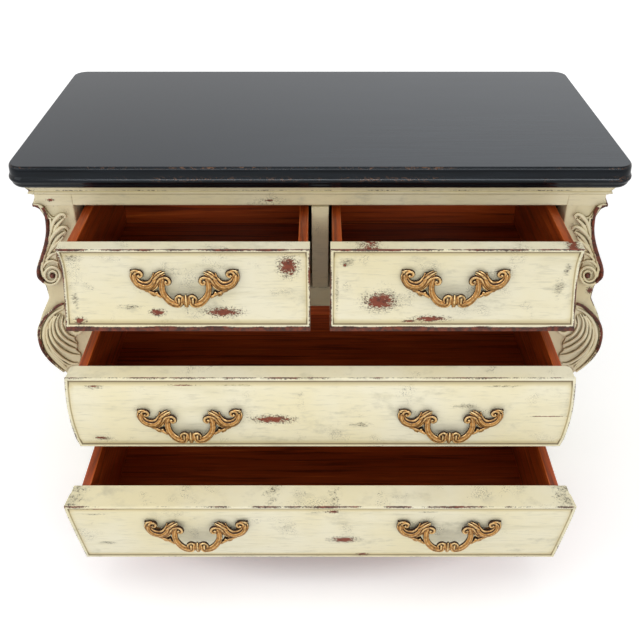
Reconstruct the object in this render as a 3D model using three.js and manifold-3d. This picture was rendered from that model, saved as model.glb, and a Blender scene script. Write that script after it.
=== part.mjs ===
import * as THREE from 'three';
import { mergeVertices } from 'three/addons/utils/BufferGeometryUtils.js';
import Module from 'manifold-3d';

// Commode chest: two small drawers over two wide ones, between carved scroll posts, under a dark moulded top.
// Millimetres. X to the right, Y to the back, Z up from the floor. The drawers stand open at rest.

const wasm = await Module();
wasm.setup();

// Overall sizes
const topWidth = 1220;
const topDepth = 580;
const height = 870;
const fit = 0.3; // gap between pieces that touch
const overrun = 4; // how far a cut runs past the material

// Top slab
const topThickness = 45;
const topEdgeInset = 12; // flat of the top ends this far inside the slab's widest line
const topCornerRadius = 36;
const topCornerCusp = 3; // extra step of the flat at each corner

// Carcass
const faceSetback = 45; // carcass face behind the top's front edge
const backSetback = 20; // carcass back in front of the top's back edge
const openingInset = 107.5; // end of the top to the edge of the drawer openings
const friezeDrop = 106.5; // top surface down to the upper openings
const railDepth = 60;
const friezeDepth = 22;
const upperRailHeight = 49.5;
const lowerRailHeight = 44;
const dividerWidth = 35;
const apronHeight = 50;
const apronDepth = 24;
const apronArch = 22; // rise of the apron's lower edge between its ends and its middle
const corniceHeight = 32;
const corniceProud = 12.5; // cornice stands out of the carcass face

// Posts and sides
const postReach = 134; // opening edge to the widest point of the carving
const postDepth = 60;
const rearPostDepth = 60;
const panelThickness = 18;
const sideArch = 40; // rise of the arch under each side panel
const archStop = 28; // straight length at each end of that arch
const sidePanelFoot = 72; // floor to the side panel's lower corners
const backThickness = 9;
const backRebate = 3; // back panel stands in from the back of the carcass
const backFoot = 70; // floor to the back panel's lower edge
const backRailDepth = 28;

// Carving on the front posts
const padProud = 9; // modelled ground of leaf and scroll above the post's face
const carvingProud = 17; // crest of the boldest strand above the post's face
const strandWidth = 12; // widest flute

// Runners, guides and dust panels
const runnerThickness = 26;
const centreRunnerThickness = 18;
const runnerWidth = 47;
const centreRunnerWidth = 110;
const guideHeight = 16;
const guideGap = 1.5; // running gap between a drawer side and its guide
const dustThickness = 6;
const kickerThickness = 26;
const kickerWidth = 36;
const stopLength = 20;
const stopHeight = 14;
const stopGap = 0.5; // drawer back to its stop when the drawer is shut
const blockSize = 28;
const blockInset = 72.5; // glue blocks stop short of the openings' edges

// Drawers
const upperOpening = 194;
const middleOpening = 171.5;
const bottomOpening = 198.5;
const frontGap = 3; // drawer front to the rails above and below
const frontSideGap = 2.5; // drawer front to post
const dividerGap = 2; // drawer front to divider
const frontInset = 18; // back of a shut drawer front behind the carcass face
const frontLip = 13; // drawer front past the drawer side
const innerLip = 4.5; // the same beside the divider
const boxBackGap = 70; // back of a shut drawer to the back panel
const sideThickness = 18;
const drawerBackThickness = 15;
const drawerBottomThickness = 6;
const grooveDepth = 6;
const grooveRise = 11; // groove above the lower edge of the drawer side
const sideTopDrop = 7; // drawer side below the top of the drawer front
const frontBead = 7; // bead round the face of a drawer front
const frontBeadProud = 1.8;

// Length of each row's drawers that is still inside the carcass at rest
const upperKept = 259;
const middleKept = 187;
const bottomKept = 69;

// Thickness of the fronts at the lower edge, middle and upper edge
const upperFrontThickness = [27, 18, 30];
const middleFrontThickness = [53, 54, 38];
const bottomFrontThickness = [18, 40, 57];

// Drawer pulls
const pullWidth = 211;
const pullHeight = 73;
const pullReach = 28; // face of the drawer front to the crest of the bail
const pullThickness = 14; // measure of the casting's strands
const upperPullDrop = 45; // top of the drawer front to the top of the pull
const middlePullDrop = 58;
const bottomPullDrop = 46;
const bossRadius = 6.5;
const studRadius = 2;
const studClearance = 0.4; // stud in its hole
const nutRadius = 5;
const nutHeight = 3;

// Counts that set how finely curves are cut
const cornerSteps = 5;
const faceSteps = 4;
const outlineSteps = 18;
const bellySteps = 26;
const rearPostSteps = 22;
const roundSides = 8;

// Levels from the floor
const topUnderside = height - topThickness;
const upperTop = height - friezeDrop;
const upperFloor = upperTop - upperOpening;
const middleTop = upperFloor - upperRailHeight;
const middleFloor = middleTop - middleOpening;
const bottomTop = middleFloor - lowerRailHeight;
const bottomFloor = bottomTop - bottomOpening;
const postHeight = topUnderside - fit;

// Lines in plan
const halfOpening = topWidth / 2 - openingInset;
const railBack = faceSetback + railDepth;
const carcassBack = topDepth - backSetback;
const rearPostFront = carcassBack - rearPostDepth;
const backPanelBack = carcassBack - backRebate;
const backPanelFront = backPanelBack - backThickness;
const frontBackPlane = faceSetback + frontInset;
const boxBack = backPanelFront - boxBackGap;

// Shapes and solids

function facingOut(geometry) {
  // Turns a closed mesh round where its faces point in
  const place = geometry.attributes.position;
  const index = geometry.index.array;
  const corner = [new THREE.Vector3(), new THREE.Vector3(), new THREE.Vector3()];
  let volume = 0;
  for (let i = 0; i < index.length; i += 3) {
    corner.forEach((c, k) => c.fromBufferAttribute(place, index[i + k]));
    volume += corner[0].dot(corner[1].clone().cross(corner[2]));
  }
  if (volume < 0) {
    for (let i = 0; i < index.length; i += 3) [index[i], index[i + 1]] = [index[i + 1], index[i]];
  }
  return geometry;
}

function meshFrom(points, triangles) {
  const geometry = new THREE.BufferGeometry();
  geometry.setAttribute('position', new THREE.Float32BufferAttribute(points.flatMap((p) => p.toArray()), 3));
  geometry.setIndex(triangles);
  return facingOut(geometry);
}

const pair = (a, b) => new THREE.Vector2(a, b);
const turnOf = (points) => Math.sign(THREE.ShapeUtils.area(points));

function capTriangles(ring, flatten) {
  // A fan closes a rounded end; an end with hollows in its outline is cut up in the plane that flatten gives
  if (!flatten) return ring.slice(2).map((_, k) => [0, k + 1, k + 2]);
  const flat = ring.map(flatten);
  const turn = turnOf(flat);
  return THREE.ShapeUtils.triangulateShape(flat, []).map(([a, b, c]) => (
    turnOf([flat[a], flat[b], flat[c]]) === turn ? [a, b, c] : [a, c, b]
  ));
}

function loft(rings, flatten) {
  // Skin over rings of equally many points, closed at both ends
  const count = rings[0].length;
  const triangles = [];
  for (let r = 0; r + 1 < rings.length; r++) {
    for (let i = 0; i < count; i++) {
      const a = r * count;
      const b = a + count;
      const j = (i + 1) % count;
      triangles.push(a + i, a + j, b + i, a + j, b + j, b + i);
    }
  }
  const last = (rings.length - 1) * count;
  for (const [a, b, c] of capTriangles(rings[0], flatten)) triangles.push(a, c, b);
  for (const [a, b, c] of capTriangles(rings.at(-1), flatten)) triangles.push(last + a, last + b, last + c);
  return meshFrom(rings.flat(), triangles);
}

function boardAlongX(outline, from, to) {
  // Outline in Y and Z, extruded from one X to another
  const shape = new THREE.Shape(outline.map(([y, z]) => pair(y, z)));
  const geometry = new THREE.ExtrudeGeometry(shape, { depth: to - from, bevelEnabled: false });
  return geometry.rotateY(Math.PI / 2).rotateX(Math.PI / 2).translate(from, 0, 0);
}

function boardAlongY(outline, from, to) {
  // Outline in X and Z, extruded from one Y to another
  const shape = new THREE.Shape(outline.map(([x, z]) => pair(x, z)));
  const geometry = new THREE.ExtrudeGeometry(shape, { depth: to - from, bevelEnabled: false });
  return geometry.rotateX(Math.PI / 2).translate(0, to, 0);
}

function board([x0, x1], [y0, y1], [z0, z1]) {
  const geometry = new THREE.BoxGeometry(x1 - x0, y1 - y0, z1 - z0);
  return geometry.translate((x0 + x1) / 2, (y0 + y1) / 2, (z0 + z1) / 2);
}

function rod(radius, [x, z], from, to) {
  // Round bar along Y
  return new THREE.CylinderGeometry(radius, radius, to - from, roundSides).translate(x, (from + to) / 2, z);
}

function bareMesh(geometry) {
  const bare = geometry.clone();
  bare.deleteAttribute('normal');
  bare.deleteAttribute('uv');
  return mergeVertices(bare);
}

const mirrored = (geometry) => facingOut(bareMesh(geometry).scale(-1, 1, 1));

function solid(geometry) {
  const bare = bareMesh(geometry);
  const triVerts = new Uint32Array(bare.index.array);
  return new wasm.Manifold(new wasm.Mesh({
    numProp: 3, vertProperties: bare.attributes.position.array, triVerts,
  }));
}

function geometryOf(made) {
  const { vertProperties, triVerts } = made.getMesh();
  const geometry = new THREE.BufferGeometry();
  geometry.setAttribute('position', new THREE.BufferAttribute(new Float32Array(vertProperties), 3));
  geometry.setIndex(new THREE.BufferAttribute(new Uint32Array(triVerts), 1));
  return geometry;
}

const joined = (geometries) => geometryOf(geometries.map(solid).reduce((whole, next) => whole.add(next)));
const cut = (geometry, cutters) => geometryOf(
  cutters.map(solid).reduce((left, cutter) => left.subtract(cutter), solid(geometry)),
);

function alongTable(table, t) {
  const place = t * (table.length - 1);
  const low = Math.min(Math.floor(place), table.length - 2);
  return THREE.MathUtils.lerp(table[low], table[low + 1], place - low);
}

function strand(points, halfWidths, halfDepths, steps, sides) {
  // Tapered bar along a smooth curve: its width lies in the plane of the front, its depth along Y
  const curve = new THREE.CatmullRomCurve3(points, false, 'centripetal');
  const toBack = new THREE.Vector3(0, 1, 0);
  const rings = [];
  for (let s = 0; s <= steps; s++) {
    const t = s / steps;
    const along = curve.getTangent(t);
    const across = along.clone().cross(toBack).normalize();
    const outward = across.clone().cross(along).normalize();
    rings.push(Array.from({ length: sides }, (_, k) => {
      const angle = (2 * Math.PI * (k + 0.5)) / sides;
      return curve.getPoint(t)
        .addScaledVector(across, Math.cos(angle) * alongTable(halfWidths, t))
        .addScaledVector(outward, Math.sin(angle) * alongTable(halfDepths, t));
    }));
  }
  return loft(rings);
}

// Finishes

const finishes = {
  blackGloss: { color: 0x16191d, roughness: 0.25, metalness: 0 },
  creamPaint: { color: 0xe6e0c4, roughness: 0.7, metalness: 0 },
  stainedWood: { color: 0x7a2f14, roughness: 0.45, metalness: 0 },
  rawWood: { color: 0xb08a5c, roughness: 0.8, metalness: 0 },
  antiqueGold: { color: 0xb8863f, roughness: 0.4, metalness: 0.9 },
};

function piece(name, geometry, finish) {
  const mesh = new THREE.Mesh(geometry, new THREE.MeshStandardMaterial(finishes[finish]));
  mesh.name = name;
  return mesh;
}

const commode = new THREE.Group();
const carcass = new THREE.Group();

// Top slab: a flat with a small step, then a full rounded edge
// Each row of shares is the inset from the widest line, the drop from the top and the cusp at the corners
const topEdgeShares = [
  [1, 0, 1], [0.93, 0.05, 1], [0.68, 0.07, 0.6], [0.64, 0.12, 0.2], [0.28, 0.2, 0], [0.06, 0.36, 0],
  [0, 0.52, 0], [0.1, 0.68, 0], [0.36, 0.82, 0], [0.52, 0.87, 0], [0.5, 0.91, 0], [0.72, 1, 0],
];

function topOutline(inset, level, cusp) {
  const radius = topCornerRadius - inset;
  const [x, back] = [topWidth / 2 - topCornerRadius, topDepth - topCornerRadius];
  const corners = [[x, back], [-x, back], [-x, topCornerRadius], [x, topCornerRadius]];
  return corners.flatMap(([cx, cy], quarter) => Array.from({ length: cornerSteps + 1 }, (_, k) => {
    const angle = (quarter + k / cornerSteps) * (Math.PI / 2);
    const inner = k > 0 && k < cornerSteps ? cusp : 0;
    return new THREE.Vector3(
      cx + (radius - inner) * Math.cos(angle), cy + (radius - inner) * Math.sin(angle), level,
    );
  }));
}

const topRings = topEdgeShares.map(([inset, drop, cusp]) => (
  topOutline(inset * topEdgeInset, height - drop * topThickness, cusp * topCornerCusp)
));
carcass.add(piece('top_slab', loft(topRings, (p) => pair(p.x, p.y)), 'blackGloss'));

// Front posts: outline of the outer side in shares of the reach from the opening and of the post's height
const postCapShares = [[0.563, 1], [0.563, 0.947]];
const postScrollShares = [
  [0.608, 0.938], [0.534, 0.926], [0.473, 0.903], [0.451, 0.874], [0.481, 0.849], [0.586, 0.812],
  [0.714, 0.77], [0.79, 0.74], [0.774, 0.724], [0.684, 0.713],
];
const postBellyShares = [
  [0.66, 0.7], [0.654, 0.665], [0.752, 0.637], [0.872, 0.599], [0.963, 0.561], [1, 0.518], [0.985, 0.479],
  [0.88, 0.444], [0.684, 0.404], [0.52, 0.36], [0.41, 0.3], [0.35, 0.235], [0.335, 0.175], [0.36, 0.115],
  [0.45, 0.062], [0.55, 0.034], [0.6, 0.016],
];
const soleShares = [[0.575, 0], [0.3, 0]];
const footInnerShares = [[0.28, 0.016], [0.2, 0.045], [0.08, 0.066], [0, 0.08]];

const smoothOutline = (shares, steps) => new THREE.SplineCurve(shares.map(([x, z]) => pair(x, z)))
  .getPoints(steps)
  .map((p) => [p.x, p.y]);
const postOutline = [
  ...postCapShares,
  ...smoothOutline(postScrollShares, outlineSteps),
  ...smoothOutline(postBellyShares, bellySteps),
  ...soleShares,
  ...smoothOutline(footInnerShares, cornerSteps),
  [0, 1],
];
const onPost = ([x, z]) => [halfOpening + x * postReach, z * postHeight];

// Carving: each strand has its line in shares of the post, its half widths in shares of the strand width
// and its crest in shares of the boldest carving
const leafPadShares = [
  [0.454, 0.643], [0.557, 0.634], [0.678, 0.62], [0.781, 0.604], [0.885, 0.578], [0.947, 0.553],
  [0.978, 0.527], [0.977, 0.501], [0.933, 0.475], [0.855, 0.448], [0.766, 0.43], [0.687, 0.411],
  [0.6, 0.425], [0.5, 0.441], [0.35, 0.467], [0.44, 0.483], [0.34, 0.506], [0.42, 0.524], [0.36, 0.542],
  [0.46, 0.566], [0.44, 0.61],
];
const scrollPadShares = [
  [0.59, 0.932], [0.5, 0.915], [0.46, 0.89], [0.44, 0.868], [0.48, 0.842], [0.58, 0.806], [0.7, 0.767],
  [0.76, 0.742], [0.71, 0.716], [0.6, 0.706], [0.48, 0.708], [0.39, 0.73], [0.4, 0.762], [0.47, 0.785],
  [0.45, 0.81], [0.38, 0.84], [0.34, 0.872], [0.3, 0.895], [0.4, 0.9], [0.5, 0.933],
];
const strands = {
  leafBead: {
    line: [[0.454, 0.643], [0.557, 0.634], [0.678, 0.62], [0.781, 0.604], [0.885, 0.578], [0.947, 0.553],
      [0.972, 0.527], [0.97, 0.501], [0.927, 0.475], [0.85, 0.45], [0.76, 0.432], [0.687, 0.415]],
    widths: [0.1, 0.32, 0.36, 0.38, 0.4, 0.4, 0.4, 0.4, 0.38, 0.34, 0.28, 0.15],
    crests: [0.5, 0.7, 0.78, 0.82, 0.84, 0.84, 0.84, 0.82, 0.8, 0.76, 0.7, 0.6],
  },
  firstFlute: {
    line: [[0.5, 0.622], [0.51, 0.585], [0.46, 0.558], [0.37, 0.54]],
    widths: [0.12, 0.4, 0.44, 0.14],
    crests: [0.6, 0.9, 0.94, 0.6],
  },
  secondFlute: {
    line: [[0.58, 0.618], [0.605, 0.572], [0.53, 0.536], [0.345, 0.508]],
    widths: [0.12, 0.44, 0.5, 0.14],
    crests: [0.62, 0.96, 1, 0.6],
  },
  thirdFlute: {
    line: [[0.67, 0.61], [0.71, 0.562], [0.63, 0.518], [0.5, 0.492], [0.42, 0.483]],
    widths: [0.12, 0.44, 0.5, 0.42, 0.14],
    crests: [0.62, 0.96, 1, 0.9, 0.6],
  },
  fourthFlute: {
    line: [[0.75, 0.6], [0.81, 0.55], [0.75, 0.505], [0.56, 0.476], [0.355, 0.466]],
    widths: [0.12, 0.44, 0.5, 0.44, 0.14],
    crests: [0.62, 0.94, 1, 0.9, 0.6],
  },
  fifthFlute: {
    line: [[0.83, 0.585], [0.9, 0.54], [0.85, 0.492], [0.7, 0.458], [0.52, 0.443]],
    widths: [0.12, 0.42, 0.46, 0.4, 0.14],
    crests: [0.62, 0.9, 0.94, 0.86, 0.6],
  },
  scrollBead: {
    line: [[0.59, 0.932], [0.53, 0.933], [0.45, 0.918], [0.42, 0.89], [0.43, 0.868], [0.475, 0.845],
      [0.54, 0.82], [0.63, 0.79], [0.7, 0.762], [0.735, 0.74], [0.7, 0.722]],
    widths: [0.3, 0.42, 0.42, 0.36, 0.34, 0.36, 0.4, 0.44, 0.46, 0.44, 0.3],
    crests: [0.8, 0.9, 0.9, 0.84, 0.82, 0.84, 0.88, 0.92, 0.96, 0.94, 0.8],
  },
  volute: {
    line: [[0.7, 0.72], [0.61, 0.706], [0.5, 0.708], [0.42, 0.728], [0.41, 0.752], [0.49, 0.769],
      [0.58, 0.765], [0.635, 0.742]],
    widths: [0.3, 0.34, 0.36, 0.36, 0.34, 0.32, 0.3, 0.2],
    crests: [0.7, 0.86, 0.9, 0.92, 0.92, 0.9, 0.86, 0.7],
  },
  upperLobe: {
    line: [[0.45, 0.85], [0.37, 0.888], [0.26, 0.907], [0.15, 0.905]],
    widths: [0.2, 0.55, 0.7, 0.3],
    crests: [0.5, 0.75, 0.8, 0.5],
  },
  middleLobe: {
    line: [[0.51, 0.822], [0.42, 0.856], [0.29, 0.873], [0.17, 0.866]],
    widths: [0.2, 0.55, 0.7, 0.3],
    crests: [0.5, 0.78, 0.84, 0.5],
  },
  lowerLobe: {
    line: [[0.6, 0.785], [0.5, 0.817], [0.38, 0.84], [0.29, 0.845]],
    widths: [0.2, 0.45, 0.45, 0.2],
    crests: [0.5, 0.76, 0.76, 0.5],
  },
  voluteLeaf: {
    line: [[0.64, 0.766], [0.55, 0.788], [0.44, 0.797], [0.38, 0.79]],
    widths: [0.2, 0.4, 0.4, 0.2],
    crests: [0.5, 0.74, 0.74, 0.5],
  },
};
const strandSides = 6;
const voluteEyeShares = [0.53, 0.744];
const voluteEyeRadius = 6.5;

function pad(shares) {
  const outline = smoothOutline([...shares, shares[0]], shares.length).slice(1).map(onPost);
  return boardAlongY(outline, faceSetback - padProud, faceSetback + overrun);
}

function carvedStrand({ line, widths, crests }) {
  const points = line.map(onPost).map(([x, z]) => new THREE.Vector3(x, faceSetback, z));
  const halfWidths = widths.map((share) => share * strandWidth);
  const halfDepths = crests.map((share) => share * carvingProud);
  return strand(points, halfWidths, halfDepths, line.length, strandSides);
}

function frontPost() {
  const body = boardAlongY(postOutline.map(onPost), faceSetback, faceSetback + postDepth);
  const [x, z] = onPost(voluteEyeShares);
  const eye = new THREE.SphereGeometry(voluteEyeRadius, roundSides, strandSides).rotateX(Math.PI / 2)
    .translate(x, faceSetback - padProud, z);
  const carving = Object.values(strands).map(carvedStrand);
  return joined([body, pad(leafPadShares), pad(scrollPadShares), eye, ...carving]);
}

const rightFrontPost = frontPost();
carcass.add(piece('right_front_post', rightFrontPost, 'creamPaint'));
carcass.add(piece('left_front_post', mirrored(rightFrontPost), 'creamPaint'));

// Sides: one smooth swelling line for the side panels, which the rear posts carry down to their feet
const sideShares = [
  [0.563, 1], [0.535, 0.953], [0.4, 0.915], [0.32, 0.873], [0.36, 0.812], [0.475, 0.74], [0.615, 0.655],
  [0.75, 0.582], [0.8, 0.521], [0.745, 0.461], [0.56, 0.388], [0.375, 0.303], [0.285, 0.218], [0.265, 0.145],
];
const rearFootShares = [[0.3, 0.1], [0.42, 0.055], [0.55, 0.03], [0.6, 0.014]];
const sideLine = smoothOutline(sideShares, outlineSteps);

function sidePanel() {
  const outer = sideLine.map(onPost);
  const foot = [outer.at(-1)[0], sidePanelFoot];
  const inner = [...outer, foot].reverse().map(([x, z]) => [x - panelThickness, z]);
  const [front, back] = [faceSetback + postDepth + fit, rearPostFront - fit];
  const panel = boardAlongY([...outer, foot, ...inner], front, back);
  const halfArch = (back - front) / 2 - archStop;
  const arch = new THREE.EllipseCurve((front + back) / 2, sidePanelFoot, halfArch, sideArch, 0, Math.PI)
    .getPoints(outlineSteps)
    .map((p) => [p.x, p.y]);
  const below = [[arch.at(-1)[0], sidePanelFoot - overrun], [arch[0][0], sidePanelFoot - overrun]];
  return cut(panel, [boardAlongX([...arch, ...below], halfOpening - overrun, halfOpening + postReach)]);
}

const rightSidePanel = sidePanel();
carcass.add(piece('right_side_panel', rightSidePanel, 'creamPaint'));
carcass.add(piece('left_side_panel', mirrored(rightSidePanel), 'creamPaint'));

const rearOutline = [
  ...smoothOutline([...sideShares, ...rearFootShares], rearPostSteps),
  ...soleShares,
  ...smoothOutline(footInnerShares, cornerSteps),
  [0, 1],
].map(onPost);
const rightRearPost = boardAlongY(rearOutline, rearPostFront, carcassBack);
carcass.add(piece('right_rear_post', rightRearPost, 'creamPaint'));
carcass.add(piece('left_rear_post', mirrored(rightRearPost), 'creamPaint'));

// Cornice: three lengths of one moulding, mitred at the front corners
// Shares of how far the moulding stands out and of its height from the top
const corniceShares = [
  [0, 0], [1, 0], [1, 0.1], [0.92, 0.13], [0.9, 0.36], [0.72, 0.58], [0.52, 0.68], [0.5, 0.74], [0.66, 0.78],
  [0.66, 0.88], [0.5, 0.93], [0.28, 0.95], [0.22, 1], [0, 1],
];
const cornice = corniceShares.map(([proud, drop]) => (
  [fit + proud * corniceProud, topUnderside - fit - drop * corniceHeight]
));
const cheek = halfOpening + postCapShares[0][0] * postReach;

function corniceFront() {
  const ring = (hand) => cornice.map(([proud, z]) => (
    new THREE.Vector3(hand * (cheek + proud - fit), faceSetback - proud, z)
  ));
  return loft([ring(-1), ring(1)], (p) => pair(p.y, p.z));
}

function corniceSide() {
  const ring = (depthAt) => cornice.map(([proud, z]) => new THREE.Vector3(cheek + proud, depthAt(proud), z));
  const mitredEnd = ring((proud) => faceSetback - proud + fit);
  return loft([mitredEnd, ring(() => carcassBack)], (p) => pair(p.x, p.z));
}

const corniceRight = corniceSide();
carcass.add(piece('cornice_front', corniceFront(), 'creamPaint'));
carcass.add(piece('cornice_right', corniceRight, 'creamPaint'));
carcass.add(piece('cornice_left', mirrored(corniceRight), 'creamPaint'));

// Rails, divider and apron between the front posts
const betweenPosts = [fit - halfOpening, halfOpening - fit];
const railSpan = [faceSetback, railBack];
const frieze = board(betweenPosts, [faceSetback, faceSetback + friezeDepth], [upperTop, topUnderside - fit]);
carcass.add(piece('frieze_rail', frieze, 'creamPaint'));
carcass.add(piece('upper_rail', board(betweenPosts, railSpan, [middleTop, upperFloor]), 'creamPaint'));
carcass.add(piece('lower_rail', board(betweenPosts, railSpan, [bottomTop, middleFloor]), 'creamPaint'));
const divider = board([-dividerWidth / 2, dividerWidth / 2], railSpan, [upperFloor + fit, upperTop - fit]);
carcass.add(piece('centre_divider', divider, 'creamPaint'));

// Lower edge of the apron, in shares of the half opening and of the arch
const apronShares = [[1, 0], [0.86, 0.1], [0.7, 0.75], [0.5, 1], [0.3, 0.85], [0.14, 0.3], [0, 0.1]];

function apron() {
  const half = new THREE.SplineCurve(apronShares.map(([x, z]) => (
    pair(x * betweenPosts[1], bottomFloor - apronHeight + z * apronArch)
  ))).getPoints(outlineSteps);
  const rightHalf = half.map((p) => [p.x, p.y]);
  const leftHalf = half.slice(0, -1).reverse().map((p) => [-p.x, p.y]);
  const upper = betweenPosts.map((x) => [x, bottomFloor]);
  return boardAlongY([...rightHalf, ...leftHalf, ...upper], faceSetback, faceSetback + apronDepth);
}

carcass.add(piece('front_apron', apron(), 'creamPaint'));

// Back
const backLevels = [backFoot, topUnderside - fit];
const backRailSpan = [backPanelFront - fit - backRailDepth, backPanelFront - fit];
const backRail = board(betweenPosts, backRailSpan, [upperTop, topUnderside - fit]);
carcass.add(piece('back_panel', board(betweenPosts, [backPanelFront, backPanelBack], backLevels), 'rawWood'));
carcass.add(piece('back_top_rail', backRail, 'rawWood'));

// Runners carry the drawer sides and guide them; dust panels close the space between them
const boxHalf = halfOpening - frontSideGap - frontLip;
const innerSide = dividerWidth / 2 + dividerGap + innerLip;

function stop(x, level) {
  // Block glued to the runner behind the drawer side
  const start = boxBack + stopGap;
  const levels = [level - dustThickness, level + stopHeight];
  return board([x, x + sideThickness], [start, start + stopLength], levels);
}

function sideRunner(level, front) {
  const outer = betweenPosts[1];
  const guide = boxHalf + guideGap;
  const [inner, bottom, guideTop] = [outer - runnerWidth, level - runnerThickness, level + guideHeight];
  const outline = [
    [inner, bottom], [outer, bottom], [outer, guideTop], [guide, guideTop], [guide, level], [inner, level],
  ];
  const bar = boardAlongY(outline, front + fit, backPanelFront - fit);
  return joined([bar, stop(boxHalf - sideThickness, level)]);
}

function centreRunner(level) {
  const [guide, edge, bottom] = [innerSide - guideGap, centreRunnerWidth / 2, level - centreRunnerThickness];
  const rightHalf = [[guide, level + guideHeight], [guide, level], [edge, level], [edge, bottom]];
  const leftHalf = rightHalf.map(([x, z]) => [-x, z]).reverse();
  const bar = boardAlongY([...rightHalf, ...leftHalf], railBack + fit, backPanelFront - fit);
  return joined([bar, stop(innerSide, level), stop(-innerSide - sideThickness, level)]);
}

for (const [row, level, front] of [
  ['upper', upperFloor, railBack],
  ['middle', middleFloor, railBack],
  ['bottom', bottomFloor, faceSetback + apronDepth],
]) {
  const runner = sideRunner(level, front);
  carcass.add(piece(`${row}_right_runner`, runner, 'rawWood'));
  carcass.add(piece(`${row}_left_runner`, mirrored(runner), 'rawWood'));
  const edge = betweenPosts[1] - runnerWidth - fit;
  const top = level - centreRunnerThickness - fit;
  const dust = board([-edge, edge], [front + fit, backPanelFront - fit], [top - dustThickness, top]);
  carcass.add(piece(`${row}_dust_panel`, dust, 'rawWood'));
}
carcass.add(piece('upper_centre_runner', centreRunner(upperFloor), 'rawWood'));

// Kickers over the sides of the upper drawers keep them from tipping
const kickerLevels = [upperTop, upperTop + kickerThickness];
const kickerSpan = [faceSetback + friezeDepth + fit, backRailSpan[0] - fit];
for (const [place, from, to] of [
  ['left', betweenPosts[0], betweenPosts[0] + kickerWidth], ['centre', -kickerWidth, kickerWidth],
  ['right', betweenPosts[1] - kickerWidth, betweenPosts[1]],
]) {
  carcass.add(piece(`${place}_kicker`, board([from, to], kickerSpan, kickerLevels), 'rawWood'));
}

// Long glue blocks under the top, in the corners behind the frieze and before the back rail
const blockTop = topUnderside - fit;
const blockEnd = halfOpening - blockInset;
const blockOutline = (corner, reach) => [
  [corner, blockTop], [corner + reach, blockTop], [corner, blockTop - blockSize],
];
for (const [place, corner, reach] of [
  ['front', kickerSpan[0], blockSize], ['rear', kickerSpan[1], -blockSize],
]) {
  const block = boardAlongX(blockOutline(corner, reach), -blockEnd, blockEnd);
  carcass.add(piece(`${place}_glue_block`, block, 'rawWood'));
}

commode.add(carcass);

// Drawer fronts: one face profile from end to end inside a bead that runs round all four edges

// Shares of the bead's width from the edge and of how far it stands out
const beadShares = [[0, 0.2], [0.3, 1], [0.72, 1], [1, -0.35], [1.25, 0]];

function beadAt(distance) {
  const place = distance / frontBead;
  const next = beadShares.findIndex(([from]) => from > place);
  if (next < 0) return 0;
  const [[from, low], [to, high]] = [beadShares[next - 1], beadShares[next]];
  return THREE.MathUtils.mapLinear(place, from, to, low, high) * frontBeadProud;
}

function faceProfile([low, middle, high], rise) {
  // Height above the lower edge and thickness there, from the lower to the upper edge
  const bulge = 2 * middle - (low + high) / 2;
  const curve = new THREE.QuadraticBezierCurve(pair(0, low), pair(rise / 2, bulge), pair(rise, high));
  const edge = beadShares.map(([from]) => from * frontBead);
  const field = Array.from({ length: faceSteps }, (_, k) => ((k + 1) * rise) / (faceSteps + 1));
  return [...edge, ...field, ...edge.map((d) => rise - d).reverse()].map((h) => curve.getPoint(h / rise));
}

function thicknessAt(profile, h) {
  const next = profile.findIndex((p) => p.x > h);
  const [low, high] = [profile[next - 1], profile[next]];
  return THREE.MathUtils.mapLinear(h, low.x, high.x, low.y, high.y);
}

function frontFace(profile, [bottom, top], [left, right]) {
  const edge = beadShares.map(([from]) => from * frontBead);
  const rise = top - bottom;
  const stations = [...edge.map((d) => left + d), ...edge.map((d) => right - d).reverse()];
  const rings = stations.map((x) => {
    const fromEnd = Math.min(x - left, right - x);
    const face = profile.map(({ x: h, y: thickness }) => {
      const proud = thickness + beadAt(Math.min(fromEnd, h, rise - h));
      return new THREE.Vector3(x, frontBackPlane - proud, bottom + h);
    });
    return [new THREE.Vector3(x, frontBackPlane, bottom), ...face, new THREE.Vector3(x, frontBackPlane, top)];
  });
  return loft(rings, (p) => pair(p.y, p.z));
}

// Pulls: one casting. Lines in shares of half the width, of the height and of the reach from the drawer front
// Half widths and half depths in shares of the boldest part
const bailLine = [
  [0.345, 0.64, 0.39], [0.285, 0.67, 0.42], [0.3, 0.755, 0.43], [0.365, 0.79, 0.43], [0.425, 0.71, 0.45],
  [0.44, 0.6, 0.5], [0.44, 0.46, 0.56], [0.407, 0.32, 0.64], [0.332, 0.184, 0.71], [0.228, 0.1, 0.78],
  [0.105, 0.09, 0.82],
];
const bailWidths = [0.16, 0.22, 0.26, 0.3, 0.32, 0.36, 0.38, 0.38, 0.4, 0.44, 0.42];
const bail = {
  line: [...bailLine, [0, 0.1, 0.82], ...bailLine.map(([x, z, proud]) => [-x, z, proud]).reverse()],
  widths: [...bailWidths, 0.38, ...bailWidths.toReversed()],
  steps: 16,
};
const stem = {
  line: [[0.85, 0.773, 0.24], [0.785, 0.8, 0.24], [0.79, 0.9, 0.24], [0.85, 0.955, 0.25], [0.925, 0.91, 0.28],
    [0.955, 0.82, 0.29], [0.93, 0.7, 0.32], [0.846, 0.57, 0.32], [0.734, 0.52, 0.32], [0.636, 0.585, 0.32],
    [0.577, 0.7, 0.29], [0.536, 0.82, 0.25], [0.472, 0.91, 0.18]],
  widths: [0.12, 0.2, 0.24, 0.26, 0.28, 0.32, 0.42, 0.52, 0.52, 0.44, 0.32, 0.24, 0.07],
  steps: 10,
};
const tipCurl = {
  line: [[0.925, 0.87, 0.26], [0.968, 0.995, 0.2]],
  widths: [0.2, 0.06],
  steps: 1,
};
const lowerLeaf = {
  line: [[0.82, 0.47, 0.24], [0.68, 0.37, 0.29], [0.554, 0.33, 0.38], [0.43, 0.35, 0.54]],
  widths: [0.16, 0.28, 0.3, 0.24],
  steps: 3,
};
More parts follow.
